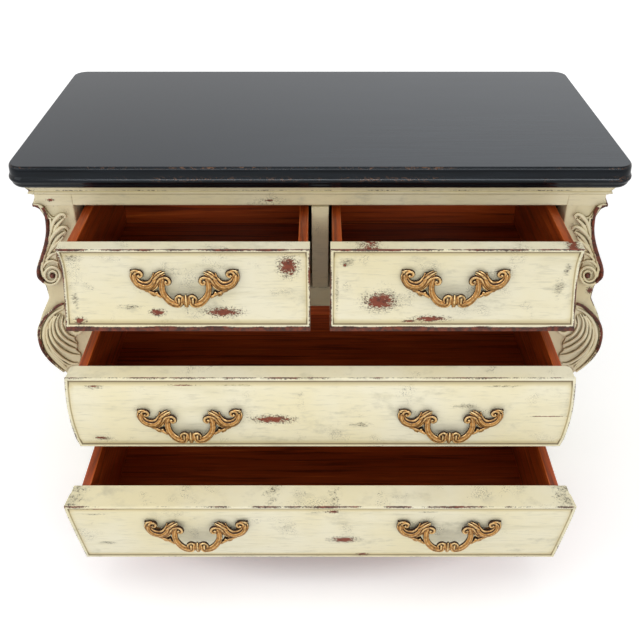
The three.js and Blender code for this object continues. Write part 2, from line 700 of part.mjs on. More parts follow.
const leafTip = {
  line: [[0.6, 0.35, 0.3], [0.575, 0.19, 0.21]],
  widths: [0.26, 0.07],
  steps: 1,
};
const shellScroll = {
  line: [[0.085, 0.33, 0.84], [0.15, 0.27, 0.85], [0.165, 0.17, 0.88], [0.13, 0.06, 0.87], [0.07, 0.01, 0.85]],
  widths: [0.16, 0.24, 0.28, 0.24, 0.14],
  steps: 3,
};
const shellRib = {
  line: [[0, 0.36, 0.82], [0, 0.19, 0.92], [0, -0.03, 0.79]],
  widths: [0.2, 0.32, 0.16],
  steps: 2,
};
const pullSides = 5;
const bossShares = [0.79, 0.54];
const bossPlace = [(bossShares[0] * pullWidth) / 2, (bossShares[1] - 1) * pullHeight];

function castStrand({ line, widths, steps }) {
  const points = line.map(([x, z, proud]) => new THREE.Vector3(
    (x * pullWidth) / 2, -proud * pullReach, (z - 1) * pullHeight,
  ));
  const half = widths.map((share) => share * pullThickness);
  return strand(points, half, half, steps, pullSides);
}

const casting = joined([
  ...[stem, tipCurl, lowerLeaf, leafTip, shellScroll].map(castStrand).flatMap((side) => [side, mirrored(side)]),
  castStrand(bail),
  castStrand(shellRib),
]);

function fittedPull(plane, face) {
  // Bosses reach back to the curved front; studs run through it and end in round nuts behind it
  const toFace = plane - face;
  const boss = rod(bossRadius, bossPlace, -pullThickness / 2, toFace - fit);
  const stud = rod(studRadius, bossPlace, toFace - 2 * fit, plane + 2 * fit);
  const nut = rod(nutRadius, bossPlace, plane + fit, plane + fit + nutHeight);
  return joined([casting, ...[boss, stud, nut].flatMap((side) => [side, mirrored(side)])]);
}

// One drawer with its box, front, pulls and bolts, drawn shut and then pulled open

function drawer(name, place, row, pullXs) {
  const { span: [left, right], lips: [lipLeft, lipRight] } = place;
  const { levels: [floor, ceiling], thickness, pullDrop, kept } = row;
  const unit = new THREE.Group();
  const frontLevels = [floor + frontGap, ceiling - frontGap];
  const [boxLeft, boxRight] = [left + lipLeft, right - lipRight];
  const boxFloor = floor + fit;
  const sideTop = frontLevels[1] - sideTopDrop;
  const groove = [boxFloor + grooveRise, boxFloor + grooveRise + drawerBottomThickness + 2 * fit];
  const [innerLeft, innerRight] = [boxLeft + sideThickness, boxRight - sideThickness];

  const pullLevel = frontLevels[1] - pullDrop;
  const face = faceProfile(thickness, frontLevels[1] - frontLevels[0]);
  const pullHigh = pullLevel - frontLevels[0];
  const bossHigh = pullHigh + bossPlace[1];
  const bossFace = Math.max(...[-bossRadius, 0, bossRadius].map((d) => thicknessAt(face, bossHigh + d)));
  const pullPlane = Math.max(bossFace, thicknessAt(face, pullHigh));
  const studPlaces = pullXs.flatMap((x) => [-1, 1].map((hand) => (
    [x + hand * bossPlace[0], pullLevel + bossPlace[1]]
  )));

  const grooveCut = board([innerLeft - grooveDepth, innerRight + grooveDepth],
    [frontBackPlane - grooveDepth, frontBackPlane + overrun], groove);
  const holes = studPlaces.map((place) => (
    rod(studRadius + studClearance, place, frontBackPlane - bossFace - overrun, frontBackPlane + overrun)
  ));
  const front = cut(frontFace(face, frontLevels, [left, right]), [grooveCut, ...holes]);
  unit.add(piece(`${name}_front`, front, 'creamPaint'));

  const boxSpan = [frontBackPlane + fit, boxBack];
  const leftOutline = [
    [boxLeft, boxFloor], [innerLeft, boxFloor], [innerLeft, groove[0]], [innerLeft - grooveDepth, groove[0]],
    [innerLeft - grooveDepth, groove[1]], [innerLeft, groove[1]], [innerLeft, sideTop], [boxLeft, sideTop],
  ];
  const centre = boxLeft + boxRight;
  const rightOutline = leftOutline.map(([x, z]) => [centre - x, z]).reverse();
  unit.add(piece(`${name}_left_side`, boardAlongY(leftOutline, ...boxSpan), 'stainedWood'));
  unit.add(piece(`${name}_right_side`, boardAlongY(rightOutline, ...boxSpan), 'stainedWood'));

  const between = [innerLeft + fit, innerRight - fit];
  const backBoard = board(between, [boxBack - drawerBackThickness, boxBack], [groove[1], sideTop]);
  unit.add(piece(`${name}_back`, backBoard, 'stainedWood'));
  const bottom = board([innerLeft - grooveDepth + fit, innerRight + grooveDepth - fit],
    [frontBackPlane - grooveDepth + fit, boxBack], [groove[0] + fit, groove[1] - fit]);
  unit.add(piece(`${name}_bottom`, bottom, 'stainedWood'));

  pullXs.forEach((x, k) => {
    const hand = pullXs.length > 1 ? ['_left_pull', '_right_pull'][k] : '_pull';
    const pull = piece(`${name}${hand}`, fittedPull(pullPlane, bossFace), 'antiqueGold');
    pull.position.set(x, frontBackPlane - pullPlane, pullLevel);
    unit.add(pull);
  });
  unit.position.y = frontBackPlane + kept - boxBack;
  return unit;
}

const frontEdge = halfOpening - frontSideGap;
const middleEdge = dividerWidth / 2 + dividerGap;
const pullOffset = (frontEdge + middleEdge) / 2;
const leftHalf = { span: [-frontEdge, -middleEdge], lips: [frontLip, innerLip] };
const rightHalf = { span: [middleEdge, frontEdge], lips: [innerLip, frontLip] };
const fullWidth = { span: [-frontEdge, frontEdge], lips: [frontLip, frontLip] };
const upperRow = {
  levels: [upperFloor, upperTop], thickness: upperFrontThickness, pullDrop: upperPullDrop, kept: upperKept,
};
const middleRow = {
  levels: [middleFloor, middleTop], thickness: middleFrontThickness, pullDrop: middlePullDrop, kept: middleKept,
};
const bottomRow = {
  levels: [bottomFloor, bottomTop], thickness: bottomFrontThickness, pullDrop: bottomPullDrop, kept: bottomKept,
};
commode.add(drawer('upper_left_drawer', leftHalf, upperRow, [-pullOffset]));
commode.add(drawer('upper_right_drawer', rightHalf, upperRow, [pullOffset]));
commode.add(drawer('middle_drawer', fullWidth, middleRow, [-pullOffset, pullOffset]));
commode.add(drawer('bottom_drawer', fullWidth, bottomRow, [-pullOffset, pullOffset]));

// The middle of the chest with its drawers open stands over the origin
const reach = new THREE.Box3().setFromObject(commode);
commode.position.y = -(reach.min.y + reach.max.y) / 2;

export default commode;
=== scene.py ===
import math

import bmesh
import bpy
import numpy as np
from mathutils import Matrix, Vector


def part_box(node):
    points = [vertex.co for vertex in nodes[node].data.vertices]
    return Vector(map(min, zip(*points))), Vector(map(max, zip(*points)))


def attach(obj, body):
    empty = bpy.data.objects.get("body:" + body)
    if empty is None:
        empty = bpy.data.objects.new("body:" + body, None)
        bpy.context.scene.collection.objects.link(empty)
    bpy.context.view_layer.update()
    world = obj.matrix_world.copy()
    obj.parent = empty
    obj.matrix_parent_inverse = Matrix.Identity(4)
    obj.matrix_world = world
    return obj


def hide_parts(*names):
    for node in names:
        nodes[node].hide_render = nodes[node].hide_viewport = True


# Commode chest with its four drawers open: carved posts, gilt pulls, dark moulded top
# Metres. X to the right, Y to the back, Z up from the floor

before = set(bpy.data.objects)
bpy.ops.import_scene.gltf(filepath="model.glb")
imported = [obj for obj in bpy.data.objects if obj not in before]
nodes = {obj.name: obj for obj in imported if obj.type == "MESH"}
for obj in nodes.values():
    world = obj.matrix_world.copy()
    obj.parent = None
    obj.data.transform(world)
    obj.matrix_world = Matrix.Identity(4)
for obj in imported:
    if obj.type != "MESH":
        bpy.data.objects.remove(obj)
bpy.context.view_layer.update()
print("frame loaded")


# Working by hand on one piece at a time

def deselectAll():
    if bpy.context.object and bpy.context.object.mode != "OBJECT":
        leaveEdit()
    bpy.ops.object.select_all(action="DESELECT")


def pick(*pieces):
    deselectAll()
    for piece in pieces:
        piece.select_set(True)
    bpy.context.view_layer.objects.active = pieces[0]


def addBox(name, low, high):
    deselectAll()
    low, high = Vector(low), Vector(high)
    bpy.ops.mesh.primitive_cube_add(size=1, location=(low + high) / 2)
    box = bpy.context.object
    box.name = name
    box.scale = high - low
    bpy.ops.object.transform_apply(location=True, rotation=True, scale=True)
    return box


def leaveEdit():
    bpy.ops.object.mode_set(mode="OBJECT")


def at(value, level):
    # Whether a vertex or edge lies on a level
    return abs(value - level) < 0.0002


def editSelect(piece, kind, test):
    # Goes into edit mode with only the matching vertices, edges or faces selected
    if bpy.context.object is not piece or piece.mode != "EDIT":
        pick(piece)
        bpy.ops.object.mode_set(mode="EDIT")
    bpy.ops.mesh.select_mode(type=kind)
    bpy.ops.mesh.select_all(action="DESELECT")
    shape = bmesh.from_edit_mesh(piece.data)
    parts = {"VERT": shape.verts, "EDGE": shape.edges, "FACE": shape.faces}[kind]
    found = [part for part in parts if test(part)]
    for part in found:
        part.select_set(True)
    shape.select_flush_mode()
    bmesh.update_edit_mesh(piece.data)
    return len(found)


def sliceAt(piece, axis, places):
    # Adds loops of edges across a board
    editSelect(piece, "VERT", lambda vert: False)
    normal = [0, 0, 0]
    normal[axis] = 1
    for place in places:
        point = [0, 0, 0]
        point[axis] = place
        bpy.ops.mesh.select_all(action="SELECT")
        bpy.ops.mesh.bisect(plane_co=point, plane_no=normal)


def slideVerts(piece, test, value):
    if editSelect(piece, "VERT", test):
        bpy.ops.transform.translate(value=value)


def insetSteps(steps):
    # Works the selected face inwards: each step is a width and a rise
    for width, rise in steps:
        bpy.ops.mesh.inset(thickness=width, depth=rise, use_even_offset=True)


def applyModifier(piece, kind, **settings):
    pick(piece)
    modifier = piece.modifiers.new(kind.title(), kind)
    for key, value in settings.items():
        setattr(modifier, key, value)
    bpy.ops.object.modifier_apply(modifier=modifier.name)


def roundEdges(piece, width, segments=2, angle=40):
    applyModifier(piece, "BEVEL", width=width, segments=segments, limit_method="ANGLE",
                  angle_limit=math.radians(angle), miter_outer="MITER_ARC")


def smoothShade(piece, angle=35):
    pick(piece)
    bpy.ops.object.shade_smooth_by_angle(angle=math.radians(angle))


def joinPieces(name, pieces):
    pick(*pieces)
    bpy.ops.object.join()
    whole = bpy.context.object
    whole.name = name
    return whole


def copyPiece(piece, name, shift=(0, 0, 0), mirror=False):
    twin = piece.copy()
    twin.data = piece.data.copy()
    twin.name = name
    bpy.context.collection.objects.link(twin)
    pick(twin)
    bpy.ops.object.mode_set(mode="EDIT")
    bpy.ops.mesh.select_all(action="SELECT")
    bpy.ops.transform.translate(value=shift)
    if mirror:
        bpy.ops.transform.resize(value=(-1, 1, 1), center_override=(0, 0, 0))
        bpy.ops.mesh.flip_normals()
    leaveEdit()
    return twin


def coordinates(piece):
    flat = np.empty(len(piece.data.vertices) * 3, np.float32)
    piece.data.vertices.foreach_get("co", flat)
    return flat.reshape(-1, 3)


def band(distance, middle, reach):
    # 1 in the middle of a band, falling to 0 at its edges
    return np.clip(1 - np.abs(distance - middle) / reach, 0, 1)


def mark(piece, name, values):
    # values is one number or one for each vertex
    layer = piece.data.attributes.get(name) or piece.data.attributes.new(name, "FLOAT", "POINT")
    layer.data.foreach_set("value", np.full(len(piece.data.vertices), values, np.float32))


def marked(piece, name):
    values = np.empty(len(piece.data.vertices), np.float32)
    piece.data.attributes[name].data.foreach_get("value", values)
    return values


def markRelief(piece, rounds, scale, sideShade=0.0, facing=0.62, turn=0.45):
    # Crest and hollow of a carved surface: how far each point stands above its smoothed neighbourhood.
    # Painted shade is added to the hollow where the surface turns away from the front, from facing on and fully after
    # turn
    deselectAll()
    mesh = piece.data
    count = len(mesh.vertices)
    ends = np.empty(len(mesh.edges) * 2, np.int32)
    mesh.edges.foreach_get("vertices", ends)
    first, second = ends.reshape(-1, 2).T
    degree = np.bincount(first, minlength=count) + np.bincount(second, minlength=count)
    degree = np.maximum(degree, 1)
    normals = np.empty(count * 3, np.float32)
    mesh.vertices.foreach_get("normal", normals)
    place = coordinates(piece)
    soft = place.astype(float)
    for _ in range(rounds):
        sums = [np.bincount(first, soft[second, axis], count) + np.bincount(second, soft[first, axis], count)
                for axis in range(3)]
        soft = np.stack([total / degree for total in sums], axis=1)
    normals = normals.reshape(-1, 3)
    rise = ((place - soft) * normals).sum(axis=1) / scale
    # Painted shade on the flanks that turn away from the front
    paintedSideShade = np.clip((normals[:, 1] + facing) / turn, 0, 1) * sideShade
    mark(piece, "crest", np.clip(rise, 0, 1) * (1 - paintedSideShade))
    mark(piece, "hollow", np.clip(np.clip(-rise, 0, 1) + paintedSideShade, 0, 1))


def supportLoops(piece, width, directions="xXyYzZ"):
    # A loop set in from the edges of each side, so that wear stays at the edges
    for letter in directions:
        axis = "xyz".index(letter.lower())
        side = 1 if letter.isupper() else -1
        if editSelect(piece, "FACE", lambda face: face.normal[axis] * side > 0.995):
            insetSteps([(width, 0)])
    leaveEdit()


def markArrises(piece, strength, angle=12):
    # Crest wherever two faces meet at an angle
    deselectAll()
    shape = bmesh.new()
    shape.from_mesh(piece.data)
    turns = [max((edge.calc_face_angle(0) for edge in vert.link_edges), default=0) for vert in shape.verts]
    shape.free()
    mark(piece, "crest", (np.array(turns) > math.radians(angle)) * strength)
    mark(piece, "hollow", 0)


# Materials

def colour(red, green, blue):
    # From the 0 to 255 of a screen to linear light
    return tuple(
        (share / 12.92 if share <= 0.04045 else ((share + 0.055) / 1.055) ** 2.4)
        for share in (red / 255, green / 255, blue / 255)
    ) + (1,)


def newMaterial(name):
    # Material, node tree, shader and the coordinates of the piece itself
    material = bpy.data.materials.new(name)
    material.use_nodes = True
    tree = material.node_tree
    tree.nodes.clear()
    shader = tree.nodes.new("ShaderNodeBsdfPrincipled")
    output = tree.nodes.new("ShaderNodeOutputMaterial")
    tree.links.new(shader.outputs["BSDF"], output.inputs["Surface"])
    return material, tree, shader, addNode(tree, "TexCoord", {}).outputs["Object"]


def addNode(tree, kind, inputs, **settings):
    node = tree.nodes.new("ShaderNode" + kind)
    for key, value in settings.items():
        setattr(node, key, value)
    for key, value in inputs.items():
        if isinstance(value, bpy.types.NodeSocket):
            tree.links.new(value, node.inputs[key])
        else:
            node.inputs[key].default_value = value
    return node


def blendColours(tree, share, first, second):
    node = addNode(tree, "Mix", {0: share, 6: first, 7: second}, data_type="RGBA")
    return node.outputs[2]


def combine(tree, operation, first, second, clamp=True):
    node = addNode(tree, "Math", {0: first, 1: second}, operation=operation, use_clamp=clamp)
    return node.outputs[0]


def stepped(tree, value, low, high, bottom=0.0, top=1.0):
    # Soft step of a value between two levels
    node = addNode(tree, "MapRange", {"Value": value, "From Min": low, "From Max": high,
                                      "To Min": bottom, "To Max": top}, interpolation_type="SMOOTHSTEP")
    return node.outputs[0]


def stretched(tree, place, scale, shift=(0, 0, 0)):
    return addNode(tree, "Mapping", {"Vector": place, "Location": shift, "Scale": scale}).outputs[0]


def cloud(tree, place, scale, detail=4, roughness=0.55, distortion=0.0):
    node = addNode(tree, "TexNoise", {"Vector": place, "Scale": scale, "Detail": detail,
                                      "Roughness": roughness, "Distortion": distortion})
    return node.outputs["Fac"]


def attribute(tree, name):
    return addNode(tree, "Attribute", {}, attribute_name=name).outputs["Fac"]


def distanceFrom(tree, place):
    return addNode(tree, "VectorMath", {0: place}, operation="LENGTH").outputs["Value"]


def coat(tree, shader, tone, roughness):
    tree.links.new(tone, shader.inputs["Base Color"])
    tree.links.new(roughness, shader.inputs["Roughness"])


def roughen(tree, shader, height, strength, distance):
    bump = addNode(tree, "Bump", {"Height": height, "Strength": strength, "Distance": distance})
    tree.links.new(bump.outputs["Normal"], shader.inputs["Normal"])


paintLook = {
    "cream": colour(231, 225, 199),
    "warm": colour(229, 219, 181),
    "shade": colour(210, 202, 168),
    "smudge": colour(182, 177, 152),
    "speck": colour(50, 42, 38),
    "scuff": colour(152, 143, 114),
    "honey": colour(208, 190, 136),
    "glaze": colour(84, 64, 34),
    "undercoat": colour(126, 55, 30),
    "undercoatDark": colour(58, 27, 14),
}
paintClouds = {
    # noise is scale, detail and roughness. step is the two levels that it steps between and what it gives there
    "strokes": {"noise": (6, 5, 0.6)},
    "fineStrokes": {"noise": (9, 4, 0.6)},
    "broad": {"noise": (4.5, 4)},
    "mottled": {"noise": (90, 5, 0.7)},
    "haze": {"stretch": (1, 1, 1.8), "shift": (3, 1, 2), "noise": (13, 6, 0.65), "step": (0.55, 0.74, 0, 0.6)},
    "cluster": {"noise": (15, 3), "step": (0.57, 0.69, 0, 0.85)},
    "dots": {"noise": (400, 2, 0.6), "step": (0.56, 0.64)},
    "scratches": {"noise": (9, 3, 0.6), "step": (0.64, 0.7)},
    "scuffEdge": {"stretch": (1, 1, 4), "noise": (75, 6, 0.8), "step": (0.25, 0.75, -0.8, 0.8)},
    "scuffGrain": {"stretch": (1, 1, 3), "noise": (200, 4, 0.7), "step": (0.5, 0.58, 0, 0.95)},
    "wearEdge": {"noise": (34, 6, 0.7), "step": (0.25, 0.75, -0.3, 0.3)},
    "wearPatches": {"noise": (12, 3), "step": (0.3, 0.7, -0.5, 0.5)},
    "crumbs": {"noise": (300, 4, 0.7), "step": (0.47, 0.56)},
    "patchEdge": {"stretch": (1, 1, 2.6), "noise": (120, 6, 0.8), "step": (0.25, 0.75, -0.7, 0.7)},
}
paintSteps = {
    "warm": (0.35, 0.7), "shade": (0.5, 0.78, 0, 0.6), "smudge": (0.5, 0.74, 0, 0.36), "scuff": (1.3, 0.3),
    "honey": (0.02, 0.25, 0, 0.6), "glaze": (0.16, 0.6, 0), "touched": (0.08, 0.3), "crumbled": (0.12, 0.4),
    "bare": (0.42, 0.55), "bareTone": (0.3, 0.62), "rim": (1.9, 0.9), "through": (0.95, 0.75),
    "throughTone": (0.45, 0.75), "roughness": (0.3, 0.7, 0.45, 0.6),
}


def nearness(tree, place, spots):
    # Distance from the nearest of some ovals, each x, z, half width and half height, in sizes of that oval
    nearest = None
    for x, z, halfWidth, halfHeight in spots:
        away = distanceFrom(tree, stretched(tree, place, (1 / halfWidth, 0, 1 / halfHeight),
                                            (-x / halfWidth, 0, -z / halfHeight)))
        nearest = away if nearest is None else combine(tree, "MINIMUM", nearest, away, clamp=False)
    return nearest


def paintCloud(tree, place, name, stretch=None):
    settings = paintClouds[name]
    stretch = settings.get("stretch", stretch)
    if stretch:
        place = stretched(tree, place, stretch, settings.get("shift", (0, 0, 0)))
    noise = cloud(tree, place, *settings["noise"])
    return stepped(tree, noise, *settings["step"]) if "step" in settings else noise


def paintMaterial(name, brush, patches=(), scuffs=(), wear=0.5, glaze=0.8, specks=1.0, age=0.0):
    # Cream paint over a red-brown coat. brush is how the strokes are stretched along X, Y and Z
    material, tree, shader, place = newMaterial(name)
    look = paintLook

    def noise(kind, stretch=None):
        return paintCloud(tree, place, kind, stretch)

    def step(kind, value, *top):
        return stepped(tree, value, *paintSteps[kind], *top)

    def blend(share, first, second):
        return blendColours(tree, share, first, second)

    def times(first, second, clamp=True):
        return combine(tree, "MULTIPLY", first, second, clamp)

    def plus(first, second):
        return combine(tree, "ADD", first, second, clamp=False)

    strokes = noise("strokes", brush)
    fineStrokes = noise("fineStrokes", [share * 3.2 for share in brush])
    tone = blend(step("warm", noise("broad")), look["cream"], look["warm"])
    tone = blend(step("shade", strokes), tone, look["shade"])
    tone = blend(step("smudge", fineStrokes), tone, look["smudge"])
    tone = blend(age, tone, look["honey"]) if age else tone

    # Grey rubbed smudges, then clusters of fine dark specks and short scratches
    tone = blend(noise("haze"), tone, look["smudge"])
    dots = noise("dots", [share ** 0.5 for share in brush])
    scratches = noise("scratches", [share * 14 for share in brush])
    marks = times(combine(tree, "MAXIMUM", dots, scratches), noise("cluster"))
    tone = blend(times(marks, specks), tone, look["speck"])
    if scuffs:
        # Grey-brown scuffs with dark scratches in them
        near = step("scuff", plus(nearness(tree, place, scuffs), noise("scuffEdge")))
        tone = blend(times(near, 0.35), tone, look["scuff"])
        tone = blend(times(near, noise("scuffGrain")), tone, look["speck"])

    # Glaze left in the hollows of carving and beads; the same hollow mark carries painted shade on the carving's
    # flanks and under the top
    hollow = attribute(tree, "hollow")
    tone = blend(step("honey", hollow), tone, look["honey"])
    tone = blend(step("glaze", hollow, glaze), tone, look["glaze"])

    # Paint rubbed off the crests: a ragged red-brown edge with dark specks beside it
    crest = attribute(tree, "crest")
    strength = times(crest, wear, clamp=False)
    uneven = plus(noise("wearEdge", brush), noise("wearPatches"))
    worn = plus(strength, times(uneven, times(strength, 2.0), clamp=False))
    touched = step("touched", crest)
    crumbs = noise("crumbs")
    tone = blend(times(times(step("crumbled", worn), touched), crumbs), tone, look["speck"])
    bare = times(step("bare", worn), touched)
    mottled = noise("mottled")
    tone = blend(bare, tone, blend(step("bareTone", mottled), look["undercoat"], look["undercoatDark"]))

    # Patches rubbed through the flat, each with a sponged rim
    if patches:
        core = plus(nearness(tree, place, patches), noise("patchEdge"))
        tone = blend(times(step("rim", core), crumbs), tone, look["undercoatDark"])
        through = step("through", core)
        tone = blend(through, tone, blend(step("throughTone", mottled), look["undercoat"], look["undercoatDark"]))
        bare = combine(tree, "MAXIMUM", bare, through)
    coat(tree, shader, tone, step("roughness", strokes))
    lie = combine(tree, "SUBTRACT", times(fineStrokes, 0.35, clamp=False), bare, clamp=False)
    roughen(tree, shader, lie, 0.5, 0.0006)
    return material


# The grey of the flat (flat and flatHaze) is a painted reflection over the black lacquer, and deep is painted shade
# towards the left end of the flat
lacquerLook = {
    "black": colour(8, 10, 13), "haze": colour(18, 22, 27), "flat": colour(50, 55, 61),
    "flatHaze": colour(57, 62, 68), "rubbed": colour(120, 84, 58), "deep": colour(22, 27, 34),
    "gloss": 0.26, "sheen": (0.86, 0.93, 1, 1), "streaks": (1.5, 30, 30), "roughness": (0.1, 0.2),
    "shadeFrom": 0.35, "shadeTo": -0.6,  # places along X between which the flat darkens
}


def lacquerMaterial(name):
    material, tree, shader, place = newMaterial(name)
    streaks = cloud(tree, stretched(tree, place, lacquerLook["streaks"]), 5, 5)
    tone = blendColours(tree, stepped(tree, streaks, 0.35, 0.75), lacquerLook["black"], lacquerLook["haze"])
    # The flat gets a painted grey reflection, with painted shade towards its left end; the rest stays black
    level = blendColours(tree, stepped(tree, streaks, 0.3, 0.7), lacquerLook["flat"], lacquerLook["flatHaze"])
    across = addNode(tree, "SeparateXYZ", {0: place}).outputs["X"]
    paintedLeftShade = stepped(tree, across, lacquerLook["shadeFrom"], lacquerLook["shadeTo"])
    level = blendColours(tree, paintedLeftShade, level, lacquerLook["deep"])
    tone = blendColours(tree, attribute(tree, "hollow"), level, tone)
    bits = stepped(tree, cloud(tree, stretched(tree, place, (1, 2, 2)), 120, 6, 0.75), 0.52, 0.6)
    worn = stepped(tree, cloud(tree, place, 7, 3), 0.46, 0.6)
    worn = combine(tree, "MULTIPLY", worn, attribute(tree, "crest"))
    tone = blendColours(tree, combine(tree, "MULTIPLY", bits, worn), tone, lacquerLook["rubbed"])
    coat(tree, shader, tone, stepped(tree, streaks, 0.2, 0.8, *lacquerLook["roughness"]))
    shader.inputs["Specular IOR Level"].default_value = lacquerLook["gloss"]
    shader.inputs["Specular Tint"].default_value = lacquerLook["sheen"]
    roughen(tree, shader, streaks, 0.1, 0.0003)
    return material


def woodMaterial(name, grain, dark, middle, light, rough):
    # grain is how the figure is stretched: small along the board, large across it
    material, tree, shader, place = newMaterial(name)
    figure = cloud(tree, stretched(tree, place, grain), 5, 6, 0.6, 0.6)
    pores = cloud(tree, stretched(tree, place, [share * 6 for share in grain]), 11, 3, 0.6)
    tone = blendColours(tree, stepped(tree, figure, 0.32, 0.55), dark, middle)
    tone = blendColours(tree, stepped(tree, figure, 0.55, 0.8), tone, light)
    tone = blendColours(tree, stepped(tree, pores, 0.6, 0.74, 0, 0.5), tone, dark)
    tone = blendColours(tree, stepped(tree, attribute(tree, "crest"), 0.1, 0.9, 0, 0.75), tone, light)
    coat(tree, shader, tone, stepped(tree, pores, 0.3, 0.7, rough - 0.08, rough + 0.1))
    roughen(tree, shader, pores, 0.25, 0.0003)
    return material


# The colour of the raised parts is a painted highlight
giltLook = {"gold": colour(184, 130, 66), "highlight": colour(252, 220, 158), "dark": colour(52, 27, 7),
            "roughness": (0.3, 0.46), "metal": 0.6}


def giltMaterial(name):
    material, tree, shader, place = newMaterial(name)
    mottled = cloud(tree, place, 170, 4)
    # Raised parts get a painted highlight
    paintedHighlight = stepped(tree, attribute(tree, "crest"), 0.1, 0.65)
    tone = blendColours(tree, paintedHighlight, giltLook["gold"], giltLook["highlight"])
    tone = blendColours(tree, stepped(tree, mottled, 0.42, 0.68, 0, 0.55), tone, giltLook["dark"])
    # Dark in the hollows: patina there, and painted shade where the casting turns away from the front
    tone = blendColours(tree, stepped(tree, attribute(tree, "hollow"), 0.04, 0.45), tone, giltLook["dark"])
    coat(tree, shader, tone, stepped(tree, mottled, 0.3, 0.7, *giltLook["roughness"]))
    shader.inputs["Metallic"].default_value = giltLook["metal"]
    return material


stain = {"dark": colour(102, 37, 9), "middle": colour(164, 68, 21), "light": colour(208, 108, 46)}
timber = {"dark": colour(146, 110, 72), "middle": colour(172, 136, 94), "light": colour(194, 162, 118)}

carvingPaint = paintMaterial("carvedCream", (1.5, 1.5, 1.2), wear=0.75, glaze=0.8, specks=0.8, age=0.3)
barePaint = paintMaterial("rubbedEye", (1.5, 1.5, 1.2), wear=1.6)
postPaint = paintMaterial("postCream", (3, 3, 1.2), [(0.587, 0.562, 0.006, 0.007)], wear=0.5, age=0.45)
carcassPaint = paintMaterial("carcassCream", (1.2, 1.2, 7),
                             [(-0.5467, 0.7798, 0.006, 0.003), (-0.104, 0.779, 0.008, 0.002)], wear=0.5, age=0.3)
sidePaint = paintMaterial("sideCream", (1, 1.5, 6), wear=0.5)
blackLacquer = lacquerMaterial("blackLacquer")
stainAcross = woodMaterial("mahoganyStainAcross", (0.8, 20, 20), rough=0.36, **stain)
stainAlong = woodMaterial("mahoganyStainAlong", (20, 0.8, 20), rough=0.36, **stain)
timberAcross = woodMaterial("timberAcross", (0.6, 14, 14), rough=0.62, **timber)
timberAlong = woodMaterial("timberAlong", (14, 0.6, 14), rough=0.62, **timber)
gilt = giltMaterial("antiqueGold")
print("materials made")


def recolour(piece, material):
    piece.data.materials.clear()
    piece.data.materials.append(material)


def dress(piece, material, body, slot, *replaced):
    deselectAll()
    recolour(piece, material)
    for name in ("crest", "hollow"):
        if name not in piece.data.attributes:
            mark(piece, name, 0)
    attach(piece, body)
    if replaced:
        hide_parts(*replaced)


def dressPair(piece, material, node):
    # A painted piece on the right, which stands for that node, and its mirror image on the left
    twin = copyPiece(piece, piece.name.replace("right", "left"), mirror=True)
    for side, part in (("right", piece), ("left", twin)):
        dress(part, material, "carcass", "cream_paint", node.replace("right", side))


# Camera: the photograph's viewing angle

camera = {"place": (-0.0003, -1.56697, 1.5287), "down": 34.83, "lens": 46.125}

deselectAll()
bpy.ops.object.camera_add(location=camera["place"], rotation=(math.radians(90 - camera["down"]), 0, 0))
viewer = bpy.context.object
viewer.data.lens = camera["lens"]
viewer.data.sensor_width = 36
bpy.context.scene.camera = viewer


# Top: a rounded edge worked up and down from its widest line, with a low step round the flat

topShape = {
    "cornerRadius": 0.036, "cornerSteps": 10, "proud": 0.0025,
    "widest": 0.64,  # share of the thickness from the top to the widest line
    "core": 0.0005,  # half the thickness of the plate that the edge is worked from
    # width and rise of each step
    "upward": [(0.1, 0.9), (0.3, 1.0), (0.8, 1.6), (0.85, 1.6), (0.6, 0.8), (0.5, 0.45), (0.05, 1.2), (0.1, 2.4),
               (0.2, 3.2), (0.3, 3.4), (0.5, 2.8), (0.7, 1.8), (0.8, 1.0), (0.7, 0.5), (0.5, 0.05), (0.1, 0.9),
               (0.25, 0.35), (0.5, 0.12)],
    "downward": [(0.15, 0.8), (0.5, 1.2), (0.9, 1.4), (1.0, 1.2), (0.9, 0.7), (0.4, 0.7), (0.1, 1.2), (0.2, 1.2),
                 (0.6, 1.2), (1.0, 1.4), (1.4, 1.6), (1.6, 1.2)],
}


def makeTop():
    low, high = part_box("top_slab")
    thickness = high.z - low.z
    middle = high.z - topShape["widest"] * thickness
    proud = topShape["proud"]
    core = topShape["core"]
    slab = addBox("moulded_top", (low.x - proud, low.y - proud, middle - core),
                  (high.x + proud, high.y, middle + core))
    editSelect(slab, "EDGE", lambda edge: abs(edge.verts[0].co.z - edge.verts[1].co.z) > 0.0001)
    bpy.ops.mesh.bevel(offset=topShape["cornerRadius"], segments=topShape["cornerSteps"], affect="EDGES")
    for side, steps, reach in ((1, topShape["upward"], high.z - middle), (-1, topShape["downward"], middle - low.z)):
        rise = sum(step[1] for step in steps)
        editSelect(slab, "FACE", lambda face: face.normal.z * side > 0.9)
        insetSteps([(width / 1000, (height / rise) * (reach - core)) for width, height in steps])
    # A loop inside the border keeps the painted grey reflection of the flat off the edge
    editSelect(slab, "FACE", lambda face: face.normal.z > 0.999 and face.calc_area() > 0.2)
    insetSteps([(0.0008, 0)])
    leaveEdit()
    fromTop = high.z - coordinates(slab)[:, 2]
    upperRub = band(fromTop, 0.002, 0.003) * (fromTop > 0.0004)
    mark(slab, "crest", np.maximum(upperRub, band(fromTop, 0.024, 0.006) * 0.7))
    # All but the flat is marked hollow, which keeps it black and out of the painted reflection
    mark(slab, "hollow", fromTop > 0.00002)
    smoothShade(slab, 28)
    dress(slab, blackLacquer, "carcass", "black_top", "top_slab")


makeTop()
print("top made")


# Cornice: a moulding drawn down in steps round the front and both sides

corniceShape = {
    # how far each line stands out in mm, and how far below the top it lies in mm
    "lines": [(12.5, 0), (12.5, 3.2), (11.6, 4.2), (11.4, 6.5), (11.2, 11.5), (10.6, 13.6), (9.4, 16), (8, 18.4),
              (7, 20.4), (6.5, 21.8), (6.3, 23.6), (7.4, 24.2), (8.2, 25), (8.5, 26.4), (8.2, 27.8), (7.2, 28.6),
              (5.8, 29.2), (4, 29.8), (2.9, 30.6), (2.6, 32)],
    "clearance": 0.0003,  # between the moulding and the carcass
}


